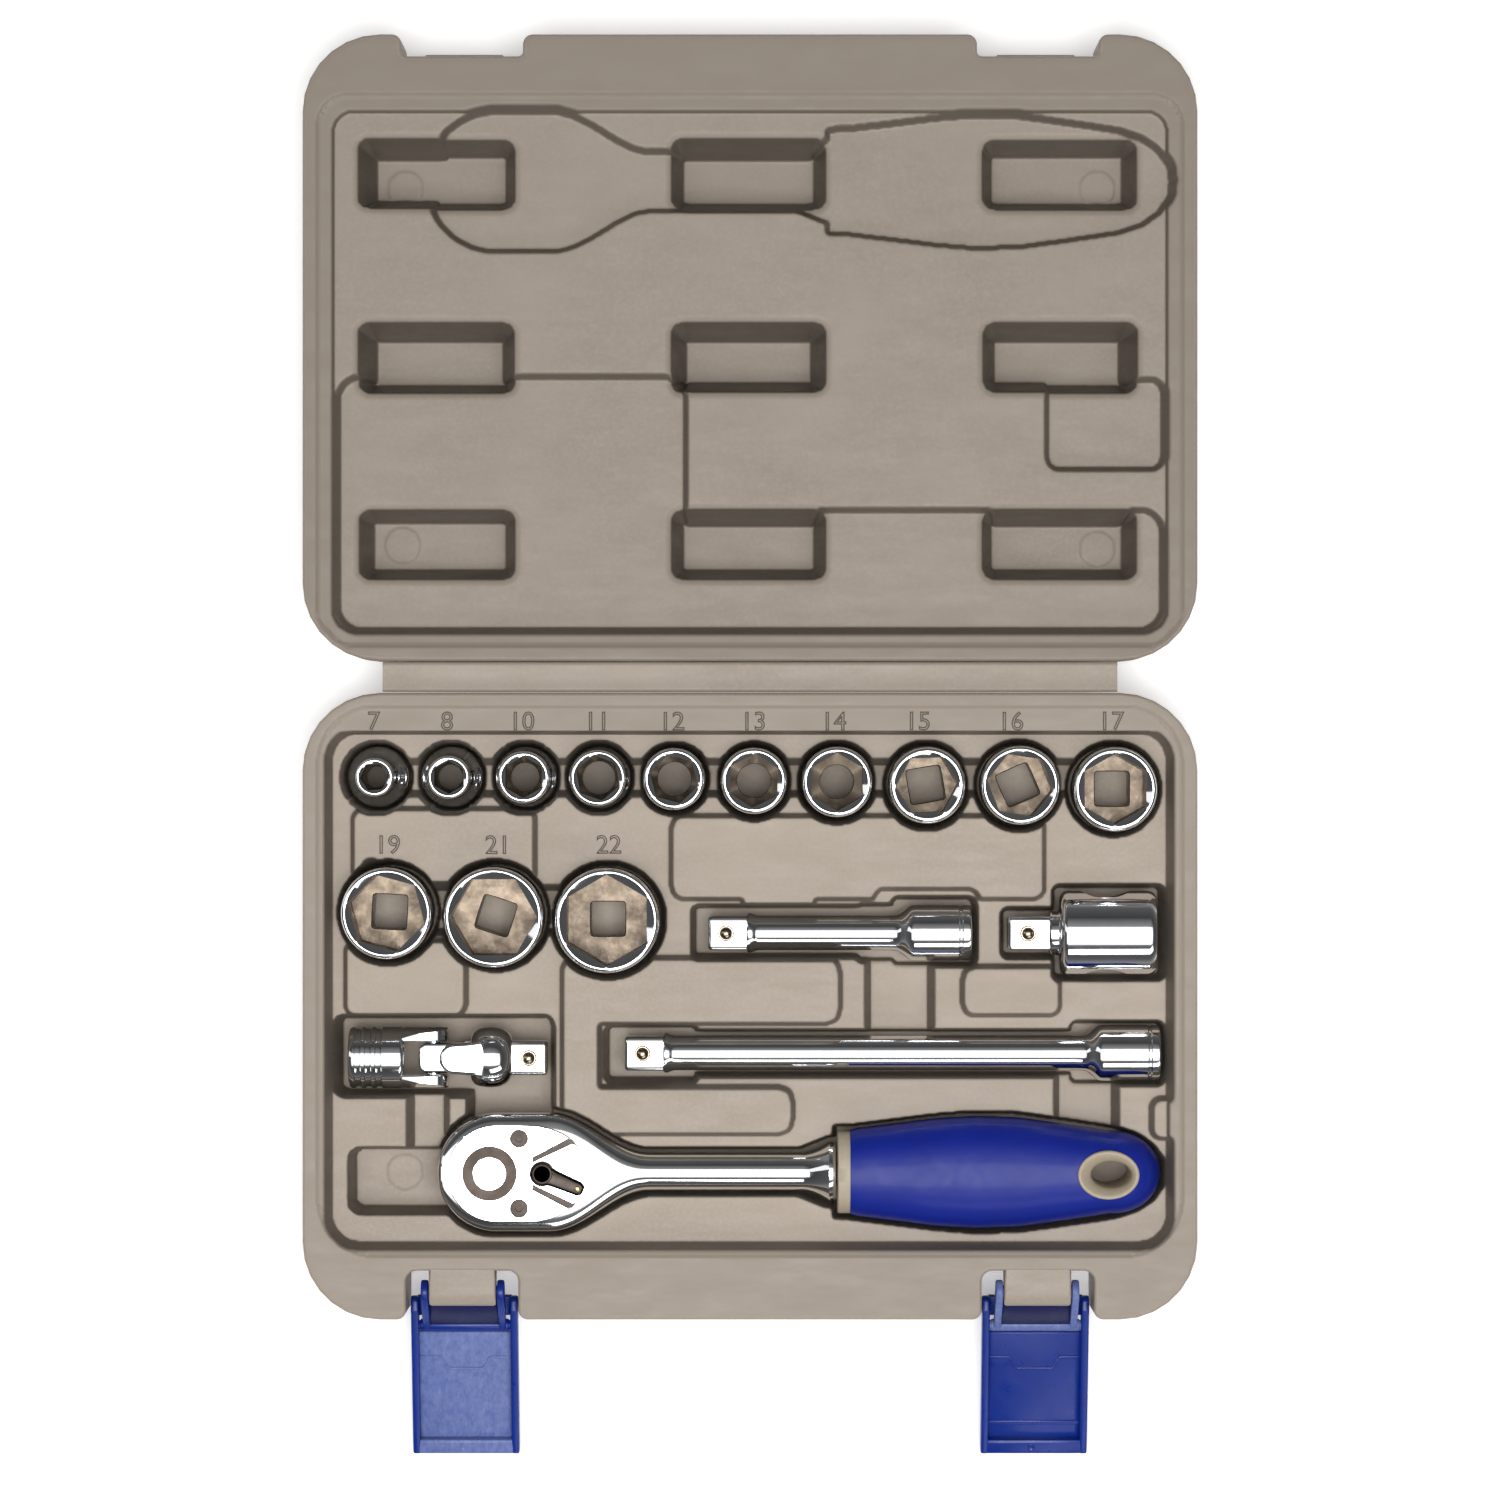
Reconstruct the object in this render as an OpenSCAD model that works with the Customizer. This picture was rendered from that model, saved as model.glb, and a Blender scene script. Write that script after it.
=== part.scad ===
// Socket wrench set in a double-wall moulded case, shown lying open.
// Millimetres.  X to the right, Y towards the hinge and lid, Z up.
// The origin is under the middle of the base tray, on the surface it stands on.

/* [Part] */
// Which part to build; all builds the whole assembly

/* [Case] */
// Length of each half along X
case_length = 248.8; // [248.4:0.2:250]
// Height of each half, bottom to rim
rim_z = 28; // [28:0.1:28.4]
// Outer corner radius in plan
corner_r = 21.5; // [20:0.5:23]
// Thickness of the moulded wall
wall = 2; // [1.6:0.1:2.2]
// Height of the seal ledge just inside the rim
ledge_z = 27.2; // [26.8:0.1:27.4]
// Height of the raised panels between the tool pockets
panel_z = 24.5; // [24:0.1:25]
// Height of the lower shelf around the raised panels
shelf_z = 20; // [19:0.1:21]
// Height of the bottom of the finger channels
channel_z = 12; // [11:0.5:13]
// Height of the bottom of the socket pockets
pocket_z = 3; // [2.6:0.1:3]
// Height of the flat face inside the lid
lid_face_z = 25; // [24.6:0.1:25]
// Height of the bottom of the lid recesses over the tools
lid_recess_z = 20.5; // [19.5:0.1:20.5]
// Height of the bottom of the nine deep lid impressions
lid_well_z = 3.5; // [3:0.1:5]

/* [Hinge] */
// Thickness of the living hinge web
web_t = 1; // [0.8:0.1:1]
// Length of the web along X
web_length = 204.6; // [200:0.2:204.6]

/* [Latches] */
// Distance of each latch from the middle
latch_x = 80; // [79.8:0.1:80.2]
// Width of a latch handle
handle_w = 30; // [29.4:0.1:30]
// Width of the base lug that carries a latch
lug_w = 18.6; // [18.2:0.1:18.6]
// Droop of the open link below level, degrees
link_droop = 46.6; // [46:0.1:47]
// Droop of the open handle below level, degrees
handle_droop = 15; // [14.5:0.1:15]

/* [Tools] */
// Length of the sockets up to 17 mm
socket_len = 28; // [27:0.1:28]
// Length of the 19, 21 and 22 mm sockets
long_socket_len = 30; // [29:0.1:30]
// Side of the male drive squares
drive = 9.5; // [9.4:0.02:9.52]
// Side of the female drive squares
drive_hole = 9.7; // [9.6:0.02:9.8]
// Diameter of the extension shafts
bar_d = 9.7; // [9:0.1:10]
// Diameter of the socket end of the extensions
bar_end_d = 15.5; // [15:0.1:15.6]
// Diameter of the detent balls in the drive squares
ball_d = 4.6; // [4.2:0.1:4.6]

/* [Ratchet] */
// Radius of the ratchet head
head_r = 16.5; // [16:0.1:16.6]
// Teeth on the ratchet gear
gear_teeth = 36; // [30:2:42]
// Thickness of the grip through its flats
grip_t = 25; // [24:0.1:25.2]

/* [Hidden] */
$fn = 48;
case_depth = 174.2;
half_x = case_length / 2;
half_y = case_depth / 2;
clear = 0.45;
lid_y0 = 96;
lid_y1 = lid_y0 + case_depth;
fold_y = half_y + lid_y0;
web_y0 = half_y + 0.3 + web_t / 2;
web_y1 = lid_y0 - 0.3 - web_t / 2;
web_z = rim_z - (web_y1 - web_y0) / 2;
notch_y = -73.5;
lug_y = -79.7;
lug_z = 23.9;
link_len = 15;
bar_y = lug_y - link_len * cos(link_droop);
bar_z = lug_z - link_len * sin(link_droop);
short_bar = [-11.7, 20.1, 17];
long_bar = [-35, -13.5, 17];
adapter_c = [86.4, 20.1, 19.5];
joint_y = -14.9;
joint_z = 14.5;
fork_x = -88.6;
fork2_x = -82.5;
ratchet_y = -46.6;
ratchet_z = 19.25;
gear_x = -72.5;
lever_x = -57.8;
plate_z = 25.5;
head_x = -70.7;
screw_x = -64.3;
screw_y = 9.7;
hang_x = 99.4;
notch_half = 15.6;
lid_notch_half = 16.9;

// size, x, y, hex end diameter, drive end diameter, hex turn, square turn, through hole
socket_7_data = [7, -104.2, 63.7, 10.8, 17, 5, 0, 6];
socket_8_data = [8, -83.6, 63.7, 12, 17, 30, 0, 7];
socket_10_data = [10, -62.8, 63.7, 14.6, 17, 30, 12, 8];
socket_11_data = [11, -42.2, 63.5, 15.6, 17.2, 40, 0, 9.2];
socket_12_data = [12, -21.1, 63.2, 17.3, 17.3, 45, 0, 9.4];
socket_13_data = [13, 1.1, 62.7, 18.5, 18.5, 26, 0, 9.4];
socket_14_data = [14, 24.2, 62.4, 19.6, 19.6, 30, 0, 9.4];
socket_15_data = [15, 49.2, 61.5, 21.4, 20.2, 2, 10, 9.4];
socket_16_data = [16, 75, 61.5, 22, 20.6, 51, 24, 9.4];
socket_17_data = [17, 101.4, 60.4, 23.5, 21.8, 30, 0, 9.4];
socket_19_data = [19, -100.8, 26, 25.4, 22.4, 45, -3, 9.4];
socket_21_data = [21, -71.1, 24.9, 27.8, 23.6, 0, -18, 9.4];
socket_22_data = [22, -39.7, 24, 29.2, 24.4, 30, 0, 9.4];
small_sockets = [socket_7_data, socket_8_data, socket_10_data, socket_11_data, socket_12_data,
    socket_13_data, socket_14_data, socket_15_data, socket_16_data, socket_17_data];
large_sockets = [socket_19_data, socket_21_data, socket_22_data];

case_colour = [0.68, 0.64, 0.58];
chrome = [0.8, 0.81, 0.83];
blue = [0.05, 0.15, 0.55];
dark_steel = [0.3, 0.26, 0.22];
beige = [0.62, 0.58, 0.5];

// ---------- shared shapes ----------

module box2(x0, y0, x1, y1, r) {
    offset(r = r, $fn = r > 10 ? 64 : 24) offset(delta = -r) translate([x0, y0]) square([x1 - x0, y1 - y0]);
}

module grown(g) {
    if (g > 0) {
        offset(r = g, $fn = 24) children();
    } else {
        children();
    }
}

// removes everything above height z inside the outline
module cut(z, g) {
    translate([0, 0, z]) linear_extrude(rim_z - z + 1) grown(g) children();
}

module round_cut(x, y, r, z) {
    translate([x, y, z]) cylinder(r = r, h = rim_z - z + 1, $fn = 64);
}

// cylinder along X
module rod_x(x0, x1, y, z, r) {
    translate([x0, y, z]) rotate([0, 90, 0]) cylinder(r = r, h = x1 - x0);
}

// cone along X
module cone_x(x0, x1, y, z, r0, r1) {
    translate([x0, y, z]) rotate([0, 90, 0]) cylinder(r1 = r0, r2 = r1, h = x1 - x0);
}

// cylinder along Y
module rod_y(x, y0, y1, z, r) {
    translate([x, y1, z]) rotate([90, 0, 0]) cylinder(r = r, h = y1 - y0);
}

// square bar along X with bevelled edges
module square_x(x0, x1, y, z, side) {
    intersection() {
        translate([x0, y - side / 2, z - side / 2]) cube([x1 - x0, side, side]);
        rod_x(x0, x1, y, z, side * 0.64);
    }
}

// ---------- case halves ----------

// outside of one half
module half_block(y0) {
    translate([0, y0 + half_y, 0]) linear_extrude(rim_z) box2(-half_x, -half_y, half_x, half_y, corner_r);
}

// outlines of the tray, seen from above
module tray_ledge() {
    box2(-119.6, -68.7, 119.6, 82.8, 15.5);
}

module tray_well() {
    box2(-116.8, -66.2, 116.4, 76.2, 8);
}

module raised_panels() {
    box2(-111.1, 32.5, -59.6, 55.1, 3);
    difference() {
        union() {
            box2(-22.2, 29.4, 82.6, 53.4, 3.5);
            box2(-2.6, 26.2, 18.6, 40, 3);
        }
        box2(34.8, 20, 63.5, 32.2, 3);
    }
    box2(-113.4, -3.4, -78.9, 18.6, 4);
    box2(-52.8, -5.4, 25.4, 13.8, 4);
    box2(-52.8, -27, -41.6, 5, 3);
    box2(-52.8, -36.2, 12.2, -22.4, 4);
    box2(59, -3.2, 87, 11.2, 3.5);
    box2(111.7, -37.6, 122, -25.4, 3);
}

module grip_outline() {
    polygon([[24, -12.1], [27.8, -12.2], [40, -13.7], [52, -15.2], [62.8, -16.1], [75, -15.7], [86, -14.2],
        [95, -12.9], [102, -11.8], [108, -9.8], [112, -7], [114.6, -3.4], [115, 0], [114.6, 3.4], [112, 7],
        [108, 9.8], [102, 11.8], [95, 12.9], [86, 14.2], [75, 15.7], [62.8, 16.1], [52, 15.2], [40, 13.7],
        [27.8, 12.2], [24, 12.1]]);
}

function neck(x) = 5.3 + (head_r - 5.3) * (0.5 + 0.5 * cos(180 * min(1, max(0, (x + 56) / 28))));

module head_outline() {
    steps = [for (i = [0:14]) -56 + 2 * i];
    translate([head_x, 0]) circle(r = head_r, $fn = 64);
    translate([head_x, -head_r]) square([15.2, 2 * head_r]);
    polygon(concat([for (x = steps) [x, -neck(x)]], [for (i = [0:14]) [-28 - 2 * i, neck(-28 - 2 * i)]]));
    translate([-30, -5.3]) square([50, 10.6]);
    polygon([[14, -5.3], [18, -6.9], [22, -8.5], [25, -8.5], [25, 8.5], [22, 8.5], [18, 6.9], [14, 5.3]]);
}

module ratchet_outline() {
    translate([0, ratchet_y]) {
        offset(delta = 0.5) head_outline();
        grip_outline();
    }
}

// every hollow of the tray, grown sideways by g and deepened by d
module tray_cuts(g, d) {
    cut(ledge_z - d, g) tray_ledge();
    cut(panel_z - d, g) tray_well();
    cut(shelf_z - d, g) difference() {
        tray_well();
        raised_panels();
    }
    for (s = small_sockets) {
        round_cut(s[1], s[2], s[4] / 2 + max(0, s[3] - s[4]) / 2 + clear + g, pocket_z - d);
    }
    for (s = large_sockets) {
        round_cut(s[1], s[2], s[3] / 2 + clear + g, pocket_z - d);
    }
    cut(channel_z - d, g) {
        box2(-104, 59.8, 101, 67.4, 2);
        box2(-101, 20.8, -40, 32.2, 2);
        box2(33.6, -12, 50, 20, 3);
        box2(-94.3, -42, -85.6, -20, 2);
        box2(86.4, -40, 101.4, -16, 3);
    }
    cut(4 - d, g) {
        box2(-115.2, -24.6, -55.8, -3.8, 2);
        box2(-78, -40, -55.8, -20, 2);
    }
    cut(6 - d, g) box2(-111.4, -57.4, -80, -40.7, 3);
    // pockets for the extensions and the adapter
    cut(8.6 - d, g) {
        box2(-15.8, 13.6, 36, 27.2, 1.5);
        box2(40, 11.2, 62.6, 29.6, 1.5);
        box2(30, 12.5, 45, 27.8, 1.5);
        box2(-40, -21.2, -15, -6.4, 1.5);
        box2(-20, -19.6, 115, -7.6, 1.5);
        box2(90, -22, 115.2, -5, 1.5);
    }
    cut(7 - d, g) {
        box2(85.3, 7.7, 115.2, 32.9, 1.5);
        box2(70.8, 13.6, 87, 26.6, 1.5);
    }
    // ratchet pocket: shallow under shaft and grip, deep under the drive square
    cut(5.4 - d, g) ratchet_outline();
    round_cut(gear_x, ratchet_y, 11 + g, 2.2 - d);
}

// hollow between the two skins of the base
module tray_cavity() {
    difference() {
        translate([0, 0, wall]) linear_extrude(rim_z - 2 * wall)
            box2(wall - half_x, wall - half_y, half_x - wall, half_y - wall, corner_r - wall);
        tray_cuts(wall, wall);
        for (sx = [-1, 1]) {
            translate([sx * latch_x, 0, -1]) linear_extrude(rim_z + 2)
                box2(-notch_half - wall, -half_y - 5, notch_half + wall, notch_y + wall, 2);
        }
    }
}

module latch_notch() {
    translate([0, 0, -1]) linear_extrude(rim_z + 2) box2(-notch_half, -half_y - 5, notch_half, notch_y, 1.5);
}

module latch_lug() {
    difference() {
        union() {
            rod_x(-lug_w / 2, lug_w / 2, lug_y, lug_z, 3.9);
            translate([-lug_w / 2, lug_y, lug_z - 3.9]) cube([lug_w, notch_y - lug_y + 0.5, 7.8]);
        }
        rod_x(-lug_w / 2 - 1, lug_w / 2 + 1, lug_y, lug_z, 1.85);
    }
}

module case_base() {
    color(case_colour) {
        difference() {
            half_block(-half_y);
            tray_cuts(0, 0);
            tray_cavity();
            for (sx = [-1, 1]) {
                translate([sx * latch_x, 0, 0]) latch_notch();
            }
            // blow pin hole that vents the hollow wall
            translate([0, -78, -1]) cylinder(r = 2.5, h = 4);
        }
        for (sx = [-1, 1]) {
            translate([sx * latch_x, 0, 0]) latch_lug();
        }
    }
}

// outlines of the lid, seen from inside
module lid_wells() {
    for (y = [119.3, 171.3, 222.6]) {
        box2(-109, y, -66, y + 18.6, 3);
        box2(-21.6, y, 20.8, y + 18.6, 3);
        box2(65.3, y, 107.8, y + 18.6, 3);
    }
}

module lid_recesses() {
    translate([0, fold_y]) mirror([0, 1]) offset(delta = 2) ratchet_outline();
    box2(-114.4, 105.2, -18.4, 174.8, 6);
    box2(-30, 105.2, 114.4, 137.8, 6);
    box2(83.3, 150, 114.6, 174, 3);
}

module lid_cuts(g, d) {
    cut(ledge_z - d, g) box2(-119.6, 100.7, 119.6, 252.9, 8);
    cut(lid_face_z - d, g) box2(-116, 104, 116, 249, 6);
    cut(lid_recess_z - d, g) lid_recesses();
    cut(lid_well_z - d, g) lid_wells();
}

module lid_notches(g) {
    for (sx = [-1, 1]) {
        translate([sx * latch_x, 0, -1]) linear_extrude(rim_z + 2)
            box2(-lid_notch_half - g, lid_y1 - 6.1 - g, lid_notch_half + g, lid_y1 + 4, 0.8);
    }
}

module lid_cavity() {
    difference() {
        translate([0, 0, wall]) linear_extrude(rim_z - 2 * wall)
            box2(wall - half_x, lid_y0 + wall, half_x - wall, lid_y1 - wall, corner_r - wall);
        lid_cuts(wall, wall);
        lid_notches(wall);
    }
}

module case_lid() {
    color(case_colour) {
        difference() {
            half_block(lid_y0);
            lid_cuts(0, 0);
            lid_cavity();
            lid_notches(0);
            translate([0, 261, -1]) cylinder(r = 2.5, h = 4);
        }
        // ribs that the latch lips hook over
        for (sx = [-1, 1]) {
            translate([sx * latch_x - 11, lid_y1 - 6.6, 13.1]) cube([22, 2.4, 2.4]);
        }
    }
}

module hinge_web() {
    color(case_colour) {
        translate([-web_length / 2, web_y0, web_z - web_t / 2]) cube([web_length, web_y1 - web_y0, web_t]);
        rod_x(-web_length / 2, web_length / 2, web_y0, web_z, web_t / 2);
        rod_x(-web_length / 2, web_length / 2, web_y1, web_z, web_t / 2);
    }
}

// ---------- latches ----------

// link standing with its bar straight out along -Y from the lug pin
module link_shape() {
    for (sx = [-1, 1]) {
        x0 = sx > 0 ? lug_w / 2 + 0.3 : -lug_w / 2 - 2.3;
        rod_x(x0, x0 + 2, 0, 0, 3.5);
        translate([x0, -link_len, -1.1]) cube([2, link_len, 2.2]);
        rod_x(sx > 0 ? lug_w / 2 - 3 : -lug_w / 2 - 1, sx > 0 ? lug_w / 2 + 1 : -lug_w / 2 + 3, 0, 0, 1.8);
    }
    rod_x(2.5 - handle_w / 2, handle_w / 2 - 2.5, -link_len, 0, 1.75);
    rod_x(0.3 - handle_w / 2, handle_w / 2 - 0.3, -link_len, 0, 1.35);
}

// handle with its pin line on the X axis, tip along -Y, inner face up
module handle_shape() {
    inner = handle_w / 2 - 2.2;
    difference() {
        union() {
            for (sx = [-1, 1]) {
                x0 = sx > 0 ? inner : -handle_w / 2;
                translate([x0, -38.2, -2.8]) cube([2.2, 38.2 + 6.4, 5]);
                rod_x(x0, x0 + 2.2, 6, -0.3, 2.5);
            }
            translate([-inner - 0.1, 2.2, -2.8]) cube([2 * inner + 0.2, 6.2, 2]);
            translate([-inner - 0.1, -38.2, -2.8]) cube([2 * inner + 0.2, 36, 2]);
            translate([-inner - 0.1, -38.2, -2.8]) cube([2 * inner + 0.2, 4.4, 4.7]);
        }
        rod_x(-handle_w / 2 - 1, handle_w / 2 + 1, 0, 0, 1.4);
    }
}

module latch_link(x) {
    color(blue) translate([x, lug_y, lug_z]) rotate([link_droop, 0, 0]) link_shape();
}

module latch_handle(x) {
    color(blue) translate([x, bar_y, bar_z]) rotate([handle_droop, 0, 0]) handle_shape();
}

module latch_link_left() {
    latch_link(-latch_x);
}

module latch_link_right() {
    latch_link(latch_x);
}

module latch_handle_left() {
    latch_handle(-latch_x);
}

module latch_handle_right() {
    latch_handle(latch_x);
}

// ---------- sockets ----------

module socket(s, len) {
    hex_r = s[3] / 2;
    drive_r = s[4] / 2;
    low = 11.5;
    rise = max(0.6, abs(hex_r - drive_r));
    color(chrome) translate([s[1], s[2], pocket_z + 0.05]) difference() {
        rotate_extrude($fn = 72) polygon([[0, 0], [drive_r - 0.8, 0], [drive_r, 0.8], [drive_r, 3.4],
            [drive_r - 0.35, 3.7], [drive_r - 0.35, 4.3], [drive_r, 4.6], [drive_r, low], [hex_r, low + rise],
            [hex_r, len - 0.5], [hex_r - 0.5, len], [0, len]]);
        translate([0, 0, -1]) cylinder(d = s[7], h = len, $fn = 48);
        rotate([0, 0, s[6]]) translate([-drive_hole / 2, -drive_hole / 2, -1])
            cube([drive_hole, drive_hole, s[0] > 14 ? 16 : 12.5]);
        translate([0, 0, len - (s[0] > 14 ? 16 : 9)]) rotate([0, 0, s[5]])
            cylinder(d = (s[0] + 0.1) / cos(30), h = 20, $fn = 6);
        translate([0, 0, len - 0.6]) cylinder(d1 = s[0] + 0.1, d2 = s[0] + 1.6, h = 0.8, $fn = 72);
    }
}

module socket_7() { socket(socket_7_data, socket_len); }
module socket_8() { socket(socket_8_data, socket_len); }
module socket_10() { socket(socket_10_data, socket_len); }
module socket_11() { socket(socket_11_data, socket_len); }
module socket_12() { socket(socket_12_data, socket_len); }
module socket_13() { socket(socket_13_data, socket_len); }
module socket_14() { socket(socket_14_data, socket_len); }
module socket_15() { socket(socket_15_data, socket_len); }
module socket_16() { socket(socket_16_data, socket_len); }
module socket_17() { socket(socket_17_data, socket_len); }
module socket_19() { socket(socket_19_data, long_socket_len); }
module socket_21() { socket(socket_21_data, long_socket_len); }
module socket_22() { socket(socket_22_data, long_socket_len); }

// ---------- extensions and adapter ----------

// bar with a male square at its low-X end and a female square at the other
module extension(p, len) {
    x = p[0];
    color(chrome) difference() {
        union() {
            square_x(x, x + 11, p[1], p[2], drive);
            cone_x(x + 11, x + 13.4, p[1], p[2], drive * 0.6, bar_d / 2);
            rod_x(x + 10.5, x + len - 17, p[1], p[2], bar_d / 2);
            cone_x(x + len - 21, x + len - 16.5, p[1], p[2], bar_d / 2, bar_end_d / 2);
            rod_x(x + len - 16.5, x + len, p[1], p[2], bar_end_d / 2);
        }
        translate([x + len - 12, p[1] - drive_hole / 2, p[2] - drive_hole / 2])
            cube([13, drive_hole, drive_hole]);
        translate([x + 5, p[1], p[2] + 0.4]) cylinder(r = ball_d / 2 + 0.1, h = 6);
    }
}

module detent_ball(x, y, z) {
    color(dark_steel) translate([x, y, z + drive / 2 - ball_d / 2 + 1]) sphere(r = ball_d / 2, $fn = 32);
}

module extension_short() {
    extension(short_bar, 73.6);
}

module extension_short_ball() {
    detent_ball(short_bar[0] + 5, short_bar[1], short_bar[2]);
}

module extension_long() {
    extension(long_bar, 149.6);
}

module extension_long_ball() {
    detent_ball(long_bar[0] + 5, long_bar[1], long_bar[2]);
}

module adapter() {
    x = adapter_c[0];
    y = adapter_c[1];
    z = adapter_c[2];
    color(chrome) difference() {
        union() {
            square_x(x - 14.5, x - 2.4, y, z, drive);
            rod_x(x - 3, x + 0.5, y, z, 6.2);
            cone_x(x, x + 1.2, y, z, 10.4, 11.8);
            rod_x(x + 1.2, x + 25.9, y, z, 11.8);
            cone_x(x + 25.9, x + 26.9, y, z, 11.8, 10.8);
        }
        translate([x + 12, y - 6.45, z - 6.45]) cube([16, 12.9, 12.9]);
        rod_y(x + 12.8, y - 13, y + 13, z, 6.25);
        translate([x - 8.9, y, z + 0.4]) cylinder(r = ball_d / 2 + 0.1, h = 6);
    }
}

module adapter_ball() {
    detent_ball(adapter_c[0] - 8.9, adapter_c[1], adapter_c[2]);
}

// ---------- universal joint ----------

module joint_fork() {
    color(chrome) difference() {
        union() {
            rod_x(-112.2, -96.4, joint_y, joint_z, 8.6);
            intersection() {
                rod_x(-97, -84.2, joint_y, joint_z, 8.6);
                union() {
                    translate([-97, joint_y - 9, joint_z - 6]) cube([8.4, 18, 12]);
                    rod_y(fork_x, joint_y - 9, joint_y + 9, joint_z, 4.4);
                }
            }
        }
        translate([-113, joint_y - drive_hole / 2, joint_z - drive_hole / 2])
            cube([12, drive_hole, drive_hole]);
        translate([-96.4, joint_y - 4.6, joint_z - 9]) cube([14, 9.2, 18]);
        rod_y(fork_x, joint_y - 10, joint_y + 10, joint_z, 2.05);
        difference() {
            rod_x(-108.6, -107.6, joint_y, joint_z, 9);
            rod_x(-109, -107, joint_y, joint_z, 8.2);
        }
    }
}

module joint_cross() {
    color(chrome) difference() {
        union() {
            translate([fork_x, joint_y - 4.2, joint_z - 4.2]) cube([fork2_x - fork_x, 8.4, 8.4]);
            rod_y(fork_x, joint_y - 4.2, joint_y + 4.2, joint_z, 4.2);
            translate([fork2_x, joint_y, joint_z - 4.2]) cylinder(r = 4.2, h = 8.4);
        }
        rod_y(fork_x, joint_y - 5, joint_y + 5, joint_z, 2.05);
        translate([fork2_x, joint_y, joint_z - 5]) cylinder(r = 2.05, h = 10);
    }
}

// the two pins: one along Y through the fork, one along Z through the output yoke
module joint_pins() {
    color(chrome) {
        rod_y(fork_x, joint_y - 7.2, joint_y + 7.2, joint_z, 2);
        translate([fork2_x, joint_y, joint_z - 7.6]) cylinder(r = 2, h = 15.2);
    }
}

module joint_output() {
    color(chrome) difference() {
        union() {
            intersection() {
                rod_x(-88, -68.1, joint_y, joint_z, 8.5);
                union() {
                    translate([fork2_x, joint_y, joint_z - 8.2]) cylinder(r = 4.3, h = 16.4);
                    translate([fork2_x, joint_y - 4.3, joint_z - 8.2]) cube([8, 8.6, 16.4]);
                    translate([-75.6, joint_y - 9, joint_z - 9]) cube([8, 18, 18]);
                }
            }
            cone_x(-68.2, -66.6, joint_y, joint_z, 8.5, 6.4);
            square_x(-67.8, -56.7, joint_y, joint_z, drive);
        }
        translate([-90, joint_y - 9, joint_z - 4.6]) cube([13.2, 18, 9.2]);
        translate([fork2_x, joint_y, joint_z - 9]) cylinder(r = 2.05, h = 18);
        translate([-61.9, joint_y, joint_z + 0.4]) cylinder(r = ball_d / 2 + 0.1, h = 6);
    }
}

module joint_ball() {
    detent_ball(-61.9, joint_y, joint_z);
}

// ---------- ratchet ----------

module ratchet_body() {
    color(chrome) translate([0, ratchet_y, 0]) difference() {
        union() {
            translate([0, 0, 13]) linear_extrude(plate_z - 13) intersection() {
                head_outline();
                translate([-90, -20]) square([56.5, 40]);
            }
            translate([0, 0, ratchet_z - 5.3]) linear_extrude(10.6) intersection() {
                head_outline();
                translate([-40, -20]) square([20, 40]);
            }
            rod_x(-30, 15, 0, ratchet_z, 5.3);
            cone_x(14.8, 22, 0, ratchet_z, 5.3, 8.3);
            rod_x(22, 24, 0, ratchet_z, 8.3);
            rod_x(23.8, 82, 0, ratchet_z, 4);
        }
        // gear bore, pawl chamber and the seat of the cover
        translate([gear_x, 0, 12]) cylinder(r = 7.05, h = 10);
        translate([gear_x, 0, 15]) cylinder(r = 9.5, h = 12);
        translate([lever_x, 0, 15]) cylinder(r = 6.4, h = 12);
        translate([0, 0, 24.3]) linear_extrude(2) offset(delta = 0.1) cover_outline();
        for (sy = [-1, 1]) {
            translate([screw_x, sy * screw_y, 18]) cylinder(r = 1.25, h = 8);
        }
    }
}

module cover_outline() {
    cover_r = head_r - 2.9;
    intersection() {
        translate([head_x, 0]) circle(r = cover_r, $fn = 96);
        translate([-90, -20]) square([40, 40]);
    }
    difference() {
        translate([head_x, -cover_r]) square([20.4, 2 * cover_r]);
        polygon([[-60, 0], [-49.4, 9.8], [-44, 9.8], [-44, -9.8], [-49.4, -9.8]]);
        translate([-51.5, 10.2]) rotate(-22) square([8, 6]);
        translate([-51.5, -10.2]) rotate(22) translate([0, -6]) square([8, 6]);
    }
    translate([lever_x, 0]) circle(r = 5, $fn = 48);
}

module ratchet_cover() {
    color(chrome) translate([0, ratchet_y, 24.35]) difference() {
        linear_extrude(plate_z + 0.35 - 24.35) cover_outline();
        translate([gear_x, 0, -1]) cylinder(r = 7.6, h = 4);
        translate([lever_x, 0, -1]) cylinder(r = 2.45, h = 4);
        for (sy = [-1, 1]) {
            translate([screw_x, sy * screw_y, -1]) cylinder(r = 1.4, h = 4);
            translate([screw_x, sy * screw_y, 0.2]) cylinder(r1 = 1.4, r2 = 2.65, h = 1.4);
        }
    }
}

module ratchet_screws() {
    color(dark_steel) for (sy = [-1, 1]) {
        translate([screw_x, ratchet_y + sy * screw_y, 0]) difference() {
            union() {
                translate([0, 0, 18.4]) cylinder(r = 1.2, h = 6.8);
                translate([0, 0, 24.6]) cylinder(r1 = 1.3, r2 = 2.5, h = 1.25);
            }
            translate([0, 0, 25.1]) cylinder(r = 1.1, h = 1, $fn = 6);
        }
    }
}

module ratchet_lever() {
    color(dark_steel) translate([lever_x, ratchet_y, 0]) {
        translate([0, 0, 16.2]) cylinder(r = 2.4, h = 10.4);
        rotate([0, 0, -22.6]) {
            translate([0, 0, 26.1]) cylinder(r = 3.6, h = 1.65);
            translate([1, -2, 26.2]) cube([11.4, 4, 1.3]);
        }
    }
}

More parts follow.
